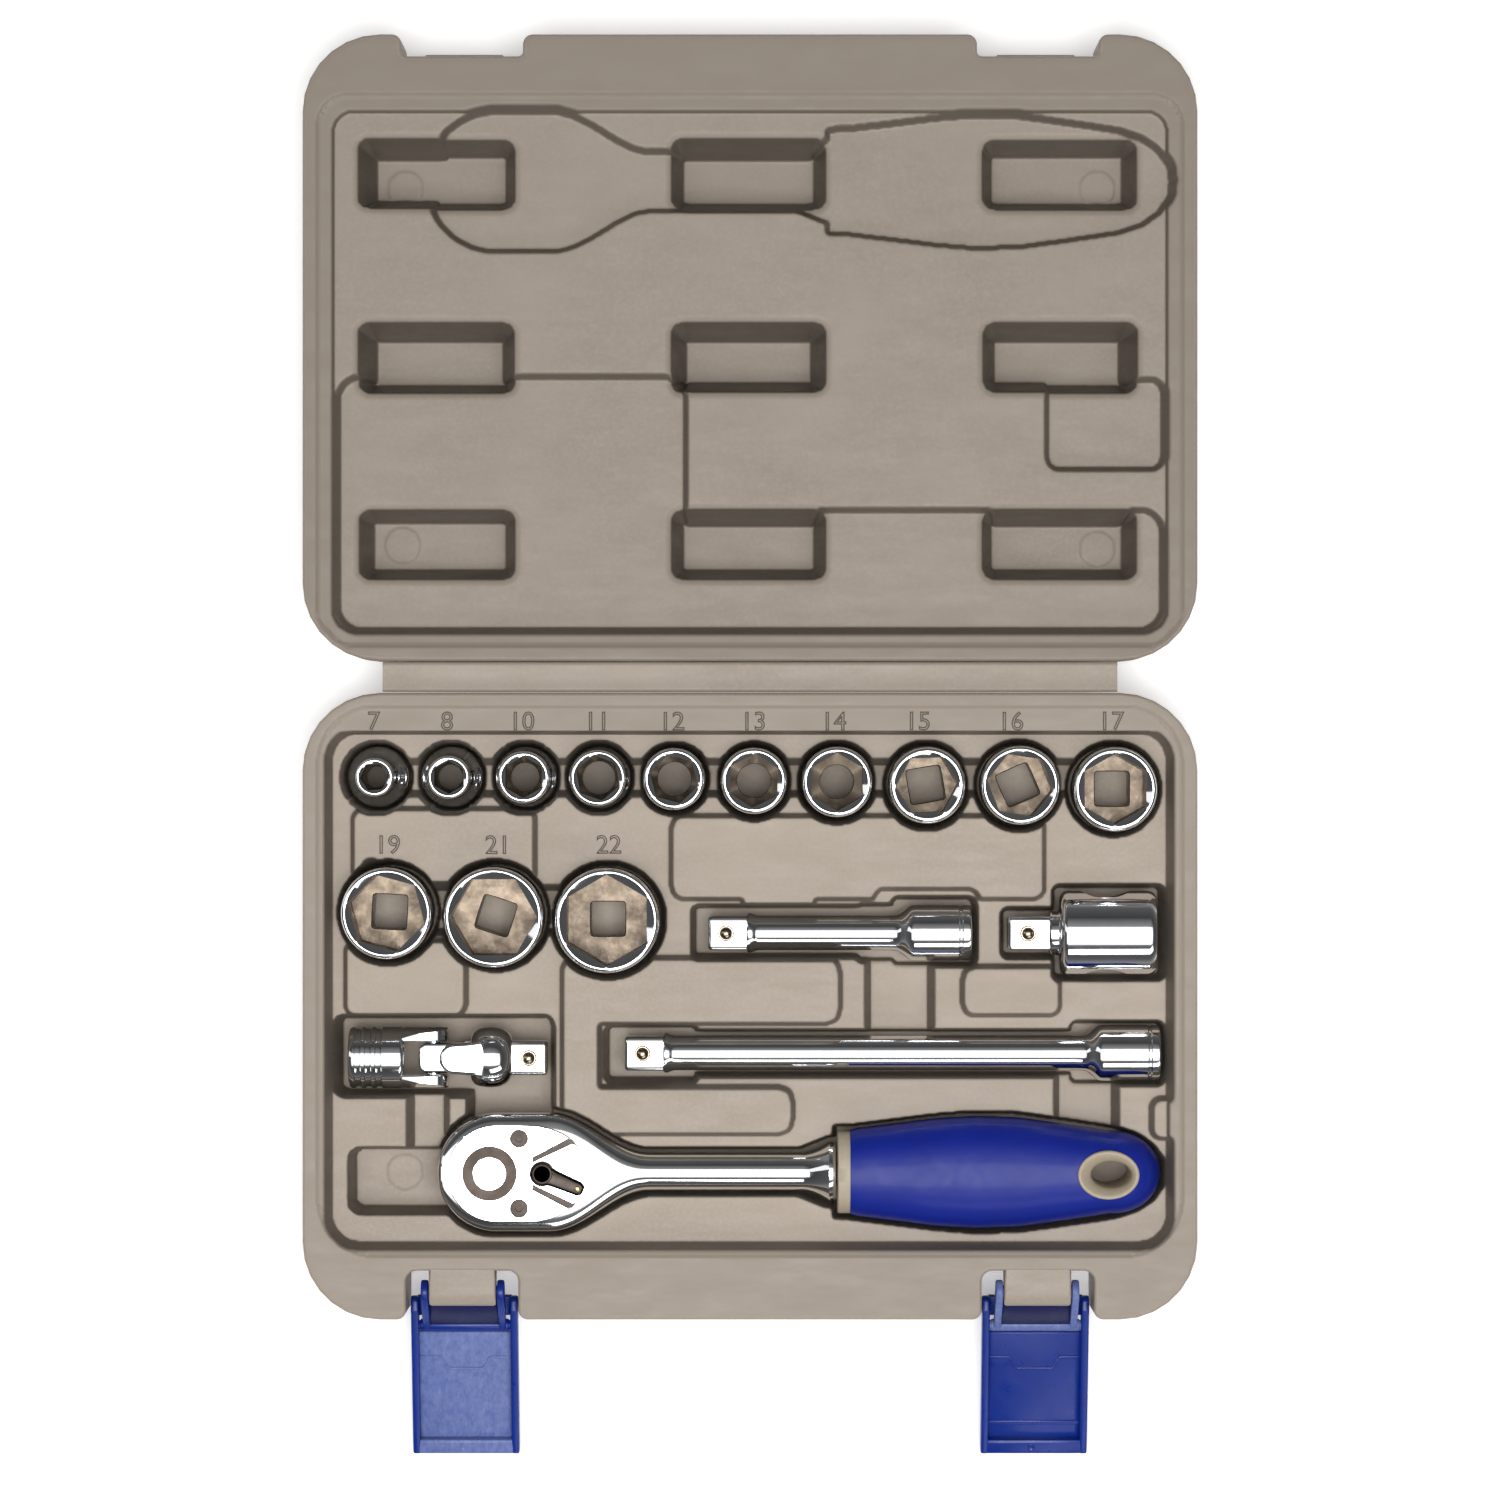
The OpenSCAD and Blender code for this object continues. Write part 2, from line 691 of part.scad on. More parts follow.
module ratchet_pawl() {
    color(chrome) translate([lever_x, ratchet_y, 15.4]) difference() {
        union() {
            cylinder(r = 4.3, h = 7.6);
            rotate([0, 0, 180 - 22.6]) translate([0, -3.9, 0]) cube([4.3, 7.8, 7.6]);
        }
        translate([0, 0, -1]) cylinder(r = 2.45, h = 10);
    }
}

module ratchet_drive() {
    tips = [for (i = [0:gear_teeth - 1], k = [0, 1])
        let (a = 360 * (i + 0.5 * k) / gear_teeth, r = k == 0 ? 8.5 : 7.9) [r * cos(a), r * sin(a)]];
    color(dark_steel) translate([gear_x, ratchet_y, 0]) difference() {
        union() {
            translate([0, 0, 15.3]) linear_extrude(8.7) polygon(tips);
            translate([0, 0, 12.6]) cylinder(r = 7, h = 3);
            translate([0, 0, 23.5]) cylinder(r = 7.5, h = 2.6);
            intersection() {
                translate([-drive / 2, -drive / 2, 2.6]) cube([drive, drive, 11]);
                translate([0, 0, 2.6]) cylinder(r = drive * 0.64, h = 11);
            }
        }
        translate([0, 0, 20.5]) cylinder(r = 4.68, h = 8);
        translate([0, 0, 5]) cylinder(r = 1.58, h = 20);
        translate([0, 0, 7.2]) rotate([0, 90, 0]) cylinder(r = ball_d / 2 + 0.05, h = 6);
    }
}

module ratchet_button() {
    color(chrome) translate([gear_x, ratchet_y, 0]) {
        translate([0, 0, 24.2]) cylinder(r = 4.6, h = 2.2);
        translate([0, 0, 12]) cylinder(r = 1.5, h = 12.4);
    }
}

// return spring under the button, drawn as a sleeve
module ratchet_spring() {
    color(dark_steel) translate([gear_x, ratchet_y, 20.55]) difference() {
        cylinder(r = 3.4, h = 1.3);
        translate([0, 0, -1]) cylinder(r = 2.2, h = 4);
    }
}

module ratchet_ball() {
    color(dark_steel) translate([gear_x + drive / 2 - ball_d / 2 + 1, ratchet_y, 7.2])
        sphere(r = ball_d / 2, $fn = 32);
}

// oval made of a middle block and two round ends
module oval(a, b, h) {
    for (sx = [-1, 1]) {
        translate([sx * (a - b), 0, 0]) cylinder(r = b, h = h);
    }
    translate([b - a, -b, 0]) cube([2 * (a - b), 2 * b, h]);
}

module grip_core() {
    color(beige) translate([0, ratchet_y, 0]) difference() {
        union() {
            intersection() {
                rod_x(24.4, 27.8, 0, ratchet_z, 11.5);
                translate([24, -15, ratchet_z - 10.5]) cube([4, 30, 21]);
            }
            rod_x(27.6, 97, 0, ratchet_z, 8);
            translate([hang_x, 0, ratchet_z - grip_t / 2]) oval(8.6, 6.8, grip_t);
        }
        rod_x(24, 82.2, 0, ratchet_z, 4.05);
        translate([hang_x, 0, ratchet_z - 15]) oval(5.5, 3.6, 30);
        translate([hang_x, 0, ratchet_z + grip_t / 2 - 5]) cylinder(r1 = 4.4, r2 = 6, h = 5.1);
    }
}

module grip_sleeve() {
    color(blue) translate([0, ratchet_y, 0]) difference() {
        intersection() {
            translate([0, 0, ratchet_z]) rotate([0, 90, 0]) rotate_extrude($fn = 96)
                polygon([[0, 27.9], [11.8, 27.9], [13.2, 40], [14.7, 52], [15.6, 62.8], [15.2, 75],
                    [13.7, 86], [12.4, 95], [11.3, 102], [9.3, 108], [6.5, 112], [3, 114.2], [0, 114.5]]);
            translate([20, -20, ratchet_z - grip_t / 2]) cube([100, 40, grip_t]);
        }
        rod_x(27, 97, 0, ratchet_z, 8.05);
        translate([hang_x, 0, ratchet_z - 15]) oval(8.65, 6.85, 30);
    }
}

// ---------- build ----------

case_base();
case_lid();
hinge_web();
latch_link_left();
latch_link_right();
latch_handle_left();
latch_handle_right();
socket_7();
socket_8();
socket_10();
socket_11();
socket_12();
socket_13();
socket_14();
socket_15();
socket_16();
socket_17();
socket_19();
socket_21();
socket_22();
extension_short();
extension_short_ball();
extension_long();
extension_long_ball();
adapter();
adapter_ball();
joint_fork();
joint_cross();
joint_pins();
joint_output();
joint_ball();
ratchet_body();
ratchet_cover();
ratchet_screws();
ratchet_lever();
ratchet_pawl();
ratchet_drive();
ratchet_button();
ratchet_ball();
ratchet_spring();
grip_core();
grip_sleeve();
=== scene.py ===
import math

import bmesh
import bpy
import numpy as np
from mathutils import Matrix, Vector
from mathutils.geometry import delaunay_2d_cdt


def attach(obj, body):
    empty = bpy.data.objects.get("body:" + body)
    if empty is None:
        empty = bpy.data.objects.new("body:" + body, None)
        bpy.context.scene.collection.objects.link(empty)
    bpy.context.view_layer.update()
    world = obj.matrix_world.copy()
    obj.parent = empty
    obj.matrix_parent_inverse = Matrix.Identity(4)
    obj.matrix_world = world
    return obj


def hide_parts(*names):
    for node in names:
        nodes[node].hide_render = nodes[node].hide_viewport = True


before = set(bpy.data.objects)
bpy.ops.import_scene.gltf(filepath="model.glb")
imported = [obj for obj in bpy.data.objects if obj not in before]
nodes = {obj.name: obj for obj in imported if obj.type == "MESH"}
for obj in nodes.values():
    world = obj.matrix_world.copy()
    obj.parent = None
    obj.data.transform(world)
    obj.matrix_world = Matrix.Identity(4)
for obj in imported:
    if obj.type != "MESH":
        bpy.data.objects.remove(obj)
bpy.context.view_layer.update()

MM = 0.001
scene = bpy.context.scene

# ---------------------------------------------------------------- camera, lights, floor
# The camera looks straight down at the middle of the open case.
EYE = (0.0, 0.07125, 1.528)
cam = bpy.data.objects.new("camera", bpy.data.cameras.new("camera"))
scene.collection.objects.link(cam)
cam.location = EYE
cam.data.sensor_width = 36
cam.data.lens = 129.6
cam.data.clip_end = 20
scene.camera = cam
scene.view_settings.view_transform = "Standard"
scene.view_settings.look = "None"


def area_light(name, place, aim, size, watts):
    light = bpy.data.lights.new(name, "AREA")
    light.shape = "RECTANGLE"
    light.size, light.size_y = size
    light.energy = watts
    ob = bpy.data.objects.new(name, light)
    scene.collection.objects.link(ob)
    ob.location = place
    ob.rotation_euler = (Vector(aim) - Vector(place)).to_track_quat("-Z", "Y").to_euler()


area_light("key", (0.5, -1.3, 1.2), (0, 0.0, 0), (1.2, 0.5), 5)
area_light("fill", (-1.4, 0.4, 1.2), (0, 0.05, 0), (0.5, 1.2), 2)
area_light("top", (0.05, -0.22, 2.0), (0, 0.02, 0), (1.25, 0.8), 25)
area_light("card", (0.0, -0.2, 2.1), (0, 0.0, 0), (2.6, 1.9), 17)


# ---------------------------------------------------------------- node materials
class Mat:
    """A node material with short calls for the nodes it needs."""

    def __init__(self, name, colour, rough, metal=0.0, **sockets):
        self.m = bpy.data.materials.new(name)
        self.m.use_nodes = True
        self.t = self.m.node_tree
        self.b = self.t.nodes["Principled BSDF"]
        self.b.inputs["Base Color"].default_value = (*colour, 1)
        self.b.inputs["Roughness"].default_value = rough
        self.b.inputs["Metallic"].default_value = metal
        for key, value in sockets.items():
            self.b.inputs[key.replace("_", " ")].default_value = value
        self.coord = self.t.nodes.new("ShaderNodeTexCoord")
        self.at = self.coord.outputs["Object"]

    def node(self, kind, **values):
        n = self.t.nodes.new(kind)
        for key, value in values.items():
            if key in n.inputs:
                if hasattr(value, "is_linked"):
                    self.t.links.new(value, n.inputs[key])
                else:
                    n.inputs[key].default_value = value
            else:
                setattr(n, key, value)
        return n

    def link(self, out, socket):
        self.t.links.new(out, self.b.inputs[socket])

    def noise(self, scale, detail=3, rough=0.5, stretch=None):
        vector = self.at
        if stretch:
            m = self.node("ShaderNodeMapping", Scale=stretch)
            self.t.links.new(self.at, m.inputs["Vector"])
            vector = m.outputs["Vector"]
        n = self.node("ShaderNodeTexNoise", Scale=scale, Detail=detail, Roughness=rough)
        self.t.links.new(vector, n.inputs["Vector"])
        return n.outputs["Fac"]

    def ramp(self, fac, stops):
        r = self.node("ShaderNodeValToRGB")
        self.t.links.new(fac, r.inputs["Fac"])
        while len(r.color_ramp.elements) < len(stops):
            r.color_ramp.elements.new(0.5)
        for e, (p, c) in zip(r.color_ramp.elements, stops):
            e.position = p
            e.color = (*c, 1) if hasattr(c, "__len__") else (c, c, c, 1)
        return r.outputs["Color"]

    def cloudy(self, fac, colour, spread):
        """The colour, from spread darker to spread lighter."""
        return self.ramp(fac, [(0.3, shade(colour, 1 - spread)), (0.7, shade(colour, 1 + spread))])

    def mix(self, fac, a, b):
        n = self.t.nodes.new("ShaderNodeMix")
        n.data_type = "RGBA"
        for socket, value in ((n.inputs[0], fac), (n.inputs[6], a), (n.inputs[7], b)):
            if hasattr(value, "is_linked"):
                self.t.links.new(value, socket)
            else:
                socket.default_value = value if not hasattr(value, "__len__") else (*value, 1)
        return n.outputs[2]

    def bump(self, heights):
        """heights: (fac, distance in mm, strength) from the broadest to the finest."""
        last = None
        for fac, distance, strength in heights:
            n = self.node("ShaderNodeBump", Strength=strength, Distance=distance * MM)
            self.t.links.new(fac, n.inputs["Height"])
            if last:
                self.t.links.new(last, n.inputs["Normal"])
            last = n.outputs["Normal"]
        self.link(last, "Normal")
        return self


def lin(r, g, b):
    """sRGB 0..255 to linear."""
    return tuple(((c / 255 + 0.055) / 1.055) ** 2.4 if c > 10 else c / 255 / 12.92 for c in (r, g, b))


def shade(c, k):
    return tuple(min(1.0, v * k) for v in c)


# brings heights in metres near the flange close to 1, for a colour ramp
FLANGE_SCALE = 35.0


def plastic(name, colour, rough, spread=0.07, grain=0.02, spec=0.5, walls=1.0):
    """Moulded plastic: cloudy colour, fine grain and faint scuffs.

    walls under 1 paints shade on faces that aren't level, darkening them by that much, and dims the flange a
    little.
    """
    m = Mat(name, colour, rough, **{"Specular_IOR_Level": spec})
    cloud = m.cloudy(m.noise(28, 4, 0.55), colour, spread)
    speck = m.ramp(m.noise(900, 2), [(0.42, 0.0), (0.75, 1.0)])
    tint = m.mix(speck, cloud, shade(colour, 1 + 1.6 * spread))
    # painted shade: faces tilted away from level get a darker colour
    if walls < 1:
        tilt = m.node("ShaderNodeSeparateXYZ")
        m.t.links.new(m.coord.outputs["Normal"], tilt.inputs[0])
        steep_shade = m.ramp(tilt.outputs[2], [(0.35, 1.0), (0.9, 0.0)])
        tint = m.mix(steep_shade, tint, shade(colour, walls))
        level = m.node("ShaderNodeSeparateXYZ")
        m.t.links.new(m.at, level.inputs[0])
        raised = m.node("ShaderNodeMath", operation="MULTIPLY")
        m.t.links.new(level.outputs[2], raised.inputs[0])
        raised.inputs[1].default_value = FLANGE_SCALE
        flange = m.ramp(raised.outputs[0], [(0.92, 0.0), (0.945, 1.0)])
        tint = m.mix(flange, tint, shade(colour, 0.84))
    m.link(tint, "Base Color")
    scuff = m.ramp(m.noise(60, 6, 0.7, (1, 3.5, 1)), [(0.35, rough - 0.06), (0.65, rough + 0.09)])
    m.link(scuff, "Roughness")
    return m.bump([(m.noise(70, 3), 0.1, 0.35), (m.noise(2200, 2), grain, 0.5)])


def metal(name, colour, rough, haze=0.05, dark=0.85, wave=0.015, metallic=1.0, spec=0.5):
    """Polished or tinted steel with faint haze and a slow ripple in its reflections."""
    m = Mat(name, colour, rough, metallic, **{"Specular_IOR_Level": spec})
    m.link(m.ramp(m.noise(90, 4, 0.6), [(0.3, shade(colour, dark)), (0.65, colour)]), "Base Color")
    hazy = m.ramp(m.noise(220, 5, 0.7), [(0.35, max(0.02, rough - haze)), (0.75, rough + haze)])
    m.link(hazy, "Roughness")
    return m.bump([(m.noise(120, 2), wave, 0.6)]).m


CASE = lin(171, 158, 144)
case_mat = plastic("case_plastic", shade(CASE, 0.8), 0.5, 0.045, 0.03, 0.42).m
# the tray and lid mouldings get painted shade on their steep faces (last argument)
base_mat = plastic("base_plastic", shade(CASE, 0.9), 0.5, 0.045, 0.03, 0.35, 0.42).m
# the numerals are the case plastic darkened: painted shade on their raised lines
numeral_shade_mat = plastic("numeral_plastic_painted_shade", shade(CASE, 0.26), 0.5, 0.045, 0.03, 0.3).m
# the lid and its sides are darker copies of the same plastic: painted shade, the lid lying further from the lamps
lid_shaded_mat = plastic("lid_plastic_painted_shade", shade(CASE, 0.7), 0.5, 0.05, 0.03, 0.35, 0.5).m
lid_side_shaded_mat = plastic("lid_side_plastic_painted_shade", shade(CASE, 0.66), 0.5, 0.05, 0.03, 0.42).m
chrome = metal("chrome", (0.86, 0.87, 0.885), 0.085, 0.03, 0.92)
chrome_face = metal("chrome_mirror", (0.95, 0.95, 0.955), 0.05, 0.02, 0.97, 0.006)
bronze = metal("bronzed_steel", lin(66, 55, 47), 0.45, 0.08, metallic=0.55)
# inside the socket holes: a darker tan metal, painted shade inside the holes
bore_shade_mat = metal("socket_bore_painted_shade", lin(112, 99, 85), 0.36, 0.16, 0.4, 0.25, 0.6, 0.3)
screw_mat = metal("screw_steel", lin(74, 62, 53), 0.5, 0.08, metallic=0.3)
ball_mat = metal("detent_steel", lin(176, 160, 140), 0.16, 0.04)
black_steel = metal("black_steel", lin(52, 47, 44), 0.3, 0.08)
brass = metal("brass_dot", lin(196, 170, 110), 0.25)
floor_paper = plastic("floor", (0.95, 0.95, 0.95), 0.7, 0.004, 0.0, 0.2)
floor_paper.b.inputs["Emission Color"].default_value = (1, 1, 1, 1)
floor_paper.b.inputs["Emission Strength"].default_value = 0.3


def blue_plastic(name, colour, rough, spread, sheen_haze=0.0):
    """Satin plastic with a thin gloss coat; the last argument lays a pale streaked haze over it, painted sheen.
    """
    m = Mat(name, colour, rough, **{"Specular_IOR_Level": 0.3, "Coat_Weight": 0.1, "Coat_Roughness": 0.15})
    cloud = m.cloudy(m.noise(45, 4, 0.6), colour, spread)
    if sheen_haze:
        wipe = m.ramp(m.noise(700, 5, 0.7, (1, 0.5, 1)), [(0.3, 0.35 * sheen_haze), (0.75, sheen_haze)])
        cloud = m.mix(wipe, cloud, lin(190, 200, 235))
    m.link(cloud, "Base Color")
    m.link(m.ramp(m.noise(240, 4, 0.65), [(0.3, rough - 0.05), (0.7, rough + 0.1)]), "Roughness")
    return m.bump([(m.noise(160, 3), 0.05, 0.3), (m.noise(2600, 2), 0.01, 0.5)]).m


# a darker copy of the latch blue: painted shade
latch_shaded_blue = blue_plastic("latch_shaded_blue", lin(6, 16, 70), 0.3, 0.08)
latch_blue = blue_plastic("latch_blue", lin(6, 40, 128), 0.3, 0.1)
# a paler copy of the latch blue: painted sheen for pieces that catch the light
latch_sheen_blue = blue_plastic("latch_blue_painted_sheen", lin(40, 68, 142), 0.46, 0.1, 0.3)
grip_mat = blue_plastic("grip_rubber", lin(3, 30, 134), 0.5, 0.08)
beige_mat = plastic("beige_plastic", lin(168, 156, 136), 0.5, 0.06, 0.03).m

# ---------------------------------------------------------------- world and floor
world = bpy.data.worlds.new("studio")
scene.world = world
world.use_nodes = True
wt = world.node_tree
sky_at = wt.nodes.new("ShaderNodeTexCoord")
sky_z = wt.nodes.new("ShaderNodeSeparateXYZ")
sky = wt.nodes.new("ShaderNodeValToRGB")
wt.links.new(sky_at.outputs["Generated"], sky_z.inputs[0])
wt.links.new(sky_z.outputs[2], sky.inputs[0])
wt.links.new(sky.outputs[0], wt.nodes["Background"].inputs["Color"])
# brightness against height: pale at the horizon and overhead, dark between
stops = sky.color_ramp.elements
sky_stops = ((stops[0], 0.0, 0.9), (stops[1], 1.0, 0.75), (stops.new(0.28), 0.28, 0.3))
sky_stops += ((stops.new(0.72), 0.72, 0.16),)
for element, along, grey in sky_stops:
    element.position = along
    element.color = (grey, grey, grey * 1.01, 1)
wt.nodes["Background"].inputs["Strength"].default_value = 0.34


def mesh_object(name, verts, faces, mat, smooth=35.0):
    """A mesh from points in mm, shaded smooth below the given angle."""
    me = bpy.data.meshes.new(name)
    me.from_pydata([tuple(v) for v in np.asarray(verts, float) * MM], [], faces)
    me.validate()
    bm = bmesh.new()
    bm.from_mesh(me)
    bmesh.ops.recalc_face_normals(bm, faces=bm.faces)
    bm.to_mesh(me)
    bm.free()
    me.materials.append(mat)
    me.polygons.foreach_set("use_smooth", [True] * len(me.polygons))
    me.set_sharp_from_angle(angle=math.radians(smooth))
    ob = bpy.data.objects.new(name, me)
    scene.collection.objects.link(ob)
    return ob


def flat_faces(ob):
    """Keeps large flats flat in reflections, so only their edges look round."""
    mod = ob.modifiers.new("flats", "WEIGHTED_NORMAL")
    mod.weight = 90
    mod.keep_sharp = True


def place(ob, body, slot, *stands_for):
    """Joins a finished piece to its body, in place of the CAD nodes it stands for; chrome and case pieces get
    flat faces.
    """
    if slot in ("chrome", "case"):
        flat_faces(ob)
    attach(ob, body)
    if stands_for:
        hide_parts(*stands_for)
    return ob


FLOOR, FLOOR_Z = 4000, -0.3
sheet = [(x * FLOOR, y * FLOOR, FLOOR_Z) for x, y in ((-1, -1), (1, -1), (1, 1), (-1, 1))]
floor = mesh_object("floor", sheet, [(0, 1, 2, 3)], floor_paper.m)


# ---------------------------------------------------------------- outlines and solids
def angles(n):
    """n even steps of one full turn."""
    return np.arange(n) * 2 * math.pi / n


def ellipse(x, y, a, b, n=64):
    t = angles(n)
    return np.c_[x + a * np.cos(t), y + b * np.sin(t)]


def round_poly(points, radii, steps=8):
    """Closed outline with each corner turned by its own radius, anticlockwise."""
    p = [np.array(q, float) for q in points]
    n = len(p)
    radii = [radii] * n if np.isscalar(radii) else radii
    out = []
    for i in range(n):
        a, b, c = p[i - 1], p[i], p[(i + 1) % n]
        u, v = (a - b) / np.linalg.norm(a - b), (c - b) / np.linalg.norm(c - b)
        r = radii[i]
        half = math.acos(max(-1, min(1, float(u @ v)))) / 2
        if r <= 0 or half > 1.55:
            out.append(b)
            continue
        t = r / math.tan(half)
        m = b + (u + v) / np.linalg.norm(u + v) * (r / math.sin(half))
        a0, a1 = b + u * t - m, b + v * t - m
        s0, s1 = math.atan2(a0[1], a0[0]), math.atan2(a1[1], a1[0])
        d = (s1 - s0 + math.pi) % (2 * math.pi) - math.pi
        for k in range(steps + 1):
            s = s0 + d * k / steps
            out.append(m + r * np.array([math.cos(s), math.sin(s)]))
    return np.array(out)


def resample(poly, gap):
    """The outline with long edges split, so that no edge is longer than gap."""
    out = []
    for i in range(len(poly)):
        a, b = poly[i], poly[(i + 1) % len(poly)]
        k = max(1, int(np.linalg.norm(b - a) / gap))
        out += [a + (b - a) * j / k for j in range(k)]
    return np.array(out)


def inset(poly, d):
    """Outline moved inwards by d, with mitred corners."""
    if abs(d) < 1e-9:
        return poly.copy()
    e = np.roll(poly, -1, 0) - poly
    keep = np.linalg.norm(e, axis=1)
    e = e / np.maximum(keep, 1e-9)[:, None]
    nrm = np.stack([-e[:, 1], e[:, 0]], 1)
    before = np.roll(nrm, 1, 0)
    m = nrm + before
    m /= np.maximum(np.linalg.norm(m, axis=1), 1e-9)[:, None]
    k = 1 / np.maximum((m * nrm).sum(1), 0.4)
    return poly + m * (d * k)[:, None]


def rings_to_faces(rings, count, close=False):
    faces = []
    for r in range(rings if close else rings - 1):
        a, b = r * count, ((r + 1) % rings) * count
        for i in range(count):
            j = (i + 1) % count
            faces.append((a + i, a + j, b + j, b + i))
    return faces


def loft(name, rings, mat, smooth=35.0, close=False):
    """Skin through rings of equal point count, capped at both ends or closed on itself."""
    n = len(rings[0])
    faces = rings_to_faces(len(rings), n, close)
    if not close:
        last = (len(rings) - 1) * n
        faces.append(tuple(range(n - 1, -1, -1)))
        faces.append(tuple(range(last, last + n)))
    return mesh_object(name, np.concatenate(rings), faces, mat, smooth)


def stack(name, poly, profile, mat, smooth=35.0):
    """Solid from an outline in plan: profile lists (inset, z) from the bottom ring to the top ring."""
    return loft(name, [np.c_[inset(poly, d), np.full(len(poly), z)] for d, z in profile], mat, smooth)


def plug(x, y, r, z0, z1, n):
    """Upright cylinder, to cut a hole with."""
    return loft("cut", [np.c_[ellipse(x, y, r, r, n), np.full(n, z)] for z in (z0, z1)], bronze)


def join(name, *obs):
    """One object from several."""
    bpy.ops.object.select_all(action="DESELECT")
    for o in obs:
        o.select_set(True)
    bpy.context.view_layer.objects.active = obs[0]
    bpy.ops.object.join()
    obs[0].name = name
    return obs[0]


def carve(ob, cut, operation="DIFFERENCE", smooth=33):
    """Cuts the second solid out of the first, or keeps what they share, and removes the second."""
    mod = ob.modifiers.new("cut", "BOOLEAN")
    mod.object = cut
    mod.operation = operation
    mod.solver = "EXACT"
    bpy.context.view_layer.objects.active = ob
    bpy.ops.object.modifier_apply(modifier="cut")
    bpy.data.objects.remove(cut)
    ob.data.polygons.foreach_set("use_smooth", [True] * len(ob.data.polygons))
    ob.data.set_sharp_from_angle(angle=math.radians(smooth))


# ---------------------------------------------------------------- case halves
GRID = 0.4
HALF_X, HALF_Y, RIM_Z, CORNER_R, LID_Y0 = 124.4, 87.1, 27.95, 21.5, 96.0
SHELF, CHANNEL, POCKET, FRAME_X = 20.05, 12.05, 9.5, 119.9
LATCH_X, LUG_Y, LUG_Z = 80.0, -79.7, 23.9


def half_outline(y0, front, notch_half, notch_y, corner):
    """Plan of one half, anticlockwise, with two latch notches in the side at y = front."""
    back = y0 if front > y0 + 1 else y0 + 2 * HALF_Y
    s = 1 if front < back else -1
    pts, radii = [(-HALF_X, front)], [CORNER_R]
    for cx in (-LATCH_X, LATCH_X):
        for x, y, r in ((cx - notch_half, front, 2.7), (cx - notch_half, notch_y, corner),
                        (cx + notch_half, notch_y, corner), (cx + notch_half, front, 2.7)):
            pts.append((x, y))
            radii.append(r)
    pts += [(HALF_X, front), (HALF_X, back), (-HALF_X, back)]
    radii += [CORNER_R] * 3
    pts, radii = pts[::s], radii[::s]
    return resample(round_poly(pts, radii, 7), 6.0)


def top_map(node, y0):
    """Height of the CAD node's upper face on a grid, -1 outside it."""
    me = nodes[node].data
    me.calc_loop_triangles()
    co = np.array([v.co for v in me.vertices], float) / MM
    tris = co[np.array([t.vertices for t in me.loop_triangles])]
    xs = np.arange(-HALF_X + 0.2, HALF_X, GRID)
    ys = np.arange(y0 + 0.2, y0 + 2 * HALF_Y, GRID)
    h = np.full((len(ys), len(xs)), -1.0)
    for p, q, r in tris:
        det = (q[0] - p[0]) * (r[1] - p[1]) - (r[0] - p[0]) * (q[1] - p[1])
        if det < 1e-9:
            continue
        low, high = np.minimum(np.minimum(p, q), r), np.maximum(np.maximum(p, q), r)
        i0, i1 = np.searchsorted(xs, (low[0] - 1e-6, high[0] + 1e-6))
        j0, j1 = np.searchsorted(ys, (low[1] - 1e-6, high[1] + 1e-6))
        if i0 == i1 or j0 == j1:
            continue
        gx, gy = np.meshgrid(xs[i0:i1], ys[j0:j1])
        u = ((gx - p[0]) * (r[1] - p[1]) - (r[0] - p[0]) * (gy - p[1])) / det
        v = ((q[0] - p[0]) * (gy - p[1]) - (gx - p[0]) * (q[1] - p[1])) / det
        z = p[2] + u * (q[2] - p[2]) + v * (r[2] - p[2])
        part = h[j0:j1, i0:i1]
        ok = (u > -1e-6) & (v > -1e-6) & (u + v < 1 + 1e-6) & (z > part)
        part[ok] = z[ok]
    return xs, ys, h


def nearest(mask):
    """For each cell, the row and column of the closest True cell and its distance in mm (jump flooding)."""
    rows, cols = mask.shape
    yy, xx = np.mgrid[0:rows, 0:cols]
    ny = np.where(mask, yy, -10000).astype(np.int32)
    nx = np.where(mask, xx, -10000).astype(np.int32)
    best = np.where(mask, 0, 10 ** 9).astype(np.int64)
    for jump in (32, 16, 8, 4, 2, 1, 1):
        for dy in (-jump, 0, jump):
            for dx in (-jump, 0, jump):
                if dx or dy:
                    sy = slice(max(0, dy), rows + min(0, dy))
                    ty = slice(max(0, -dy), rows + min(0, -dy))
                    sx = slice(max(0, dx), cols + min(0, dx))
                    tx = slice(max(0, -dx), cols + min(0, -dx))
                    cy, cx = ny[sy, sx], nx[sy, sx]
                    d = (cy - yy[ty, tx]).astype(np.int64) ** 2 + (cx - xx[ty, tx]).astype(np.int64) ** 2
                    d[cy < 0] = 10 ** 9
                    better = d < best[ty, tx]
                    best[ty, tx][better] = d[better]
                    ny[ty, tx][better] = cy[better]
                    nx[ty, tx][better] = cx[better]
    return ny, nx, np.sqrt(best) * GRID


def slope_from(h, level, mask, rise, lip=0.0, lip_width=1.0):
    """Walls round the masked floor lean outwards, rising by rise per mm, with a soft lip at their top."""
    ny, nx, d = nearest(mask)
    floor_level = level[np.clip(ny, 0, None), np.clip(nx, 0, None)]
    d = blur(d, 1.0)
    new = np.minimum(h, floor_level + rise * d)
    if lip:
        near = (d < lip_width) & ~mask & (h - floor_level > 2)
        new = np.where(near, np.minimum(new, h - lip * np.clip(1 - d / lip_width, 0, 1) ** 1.3), new)
    return new


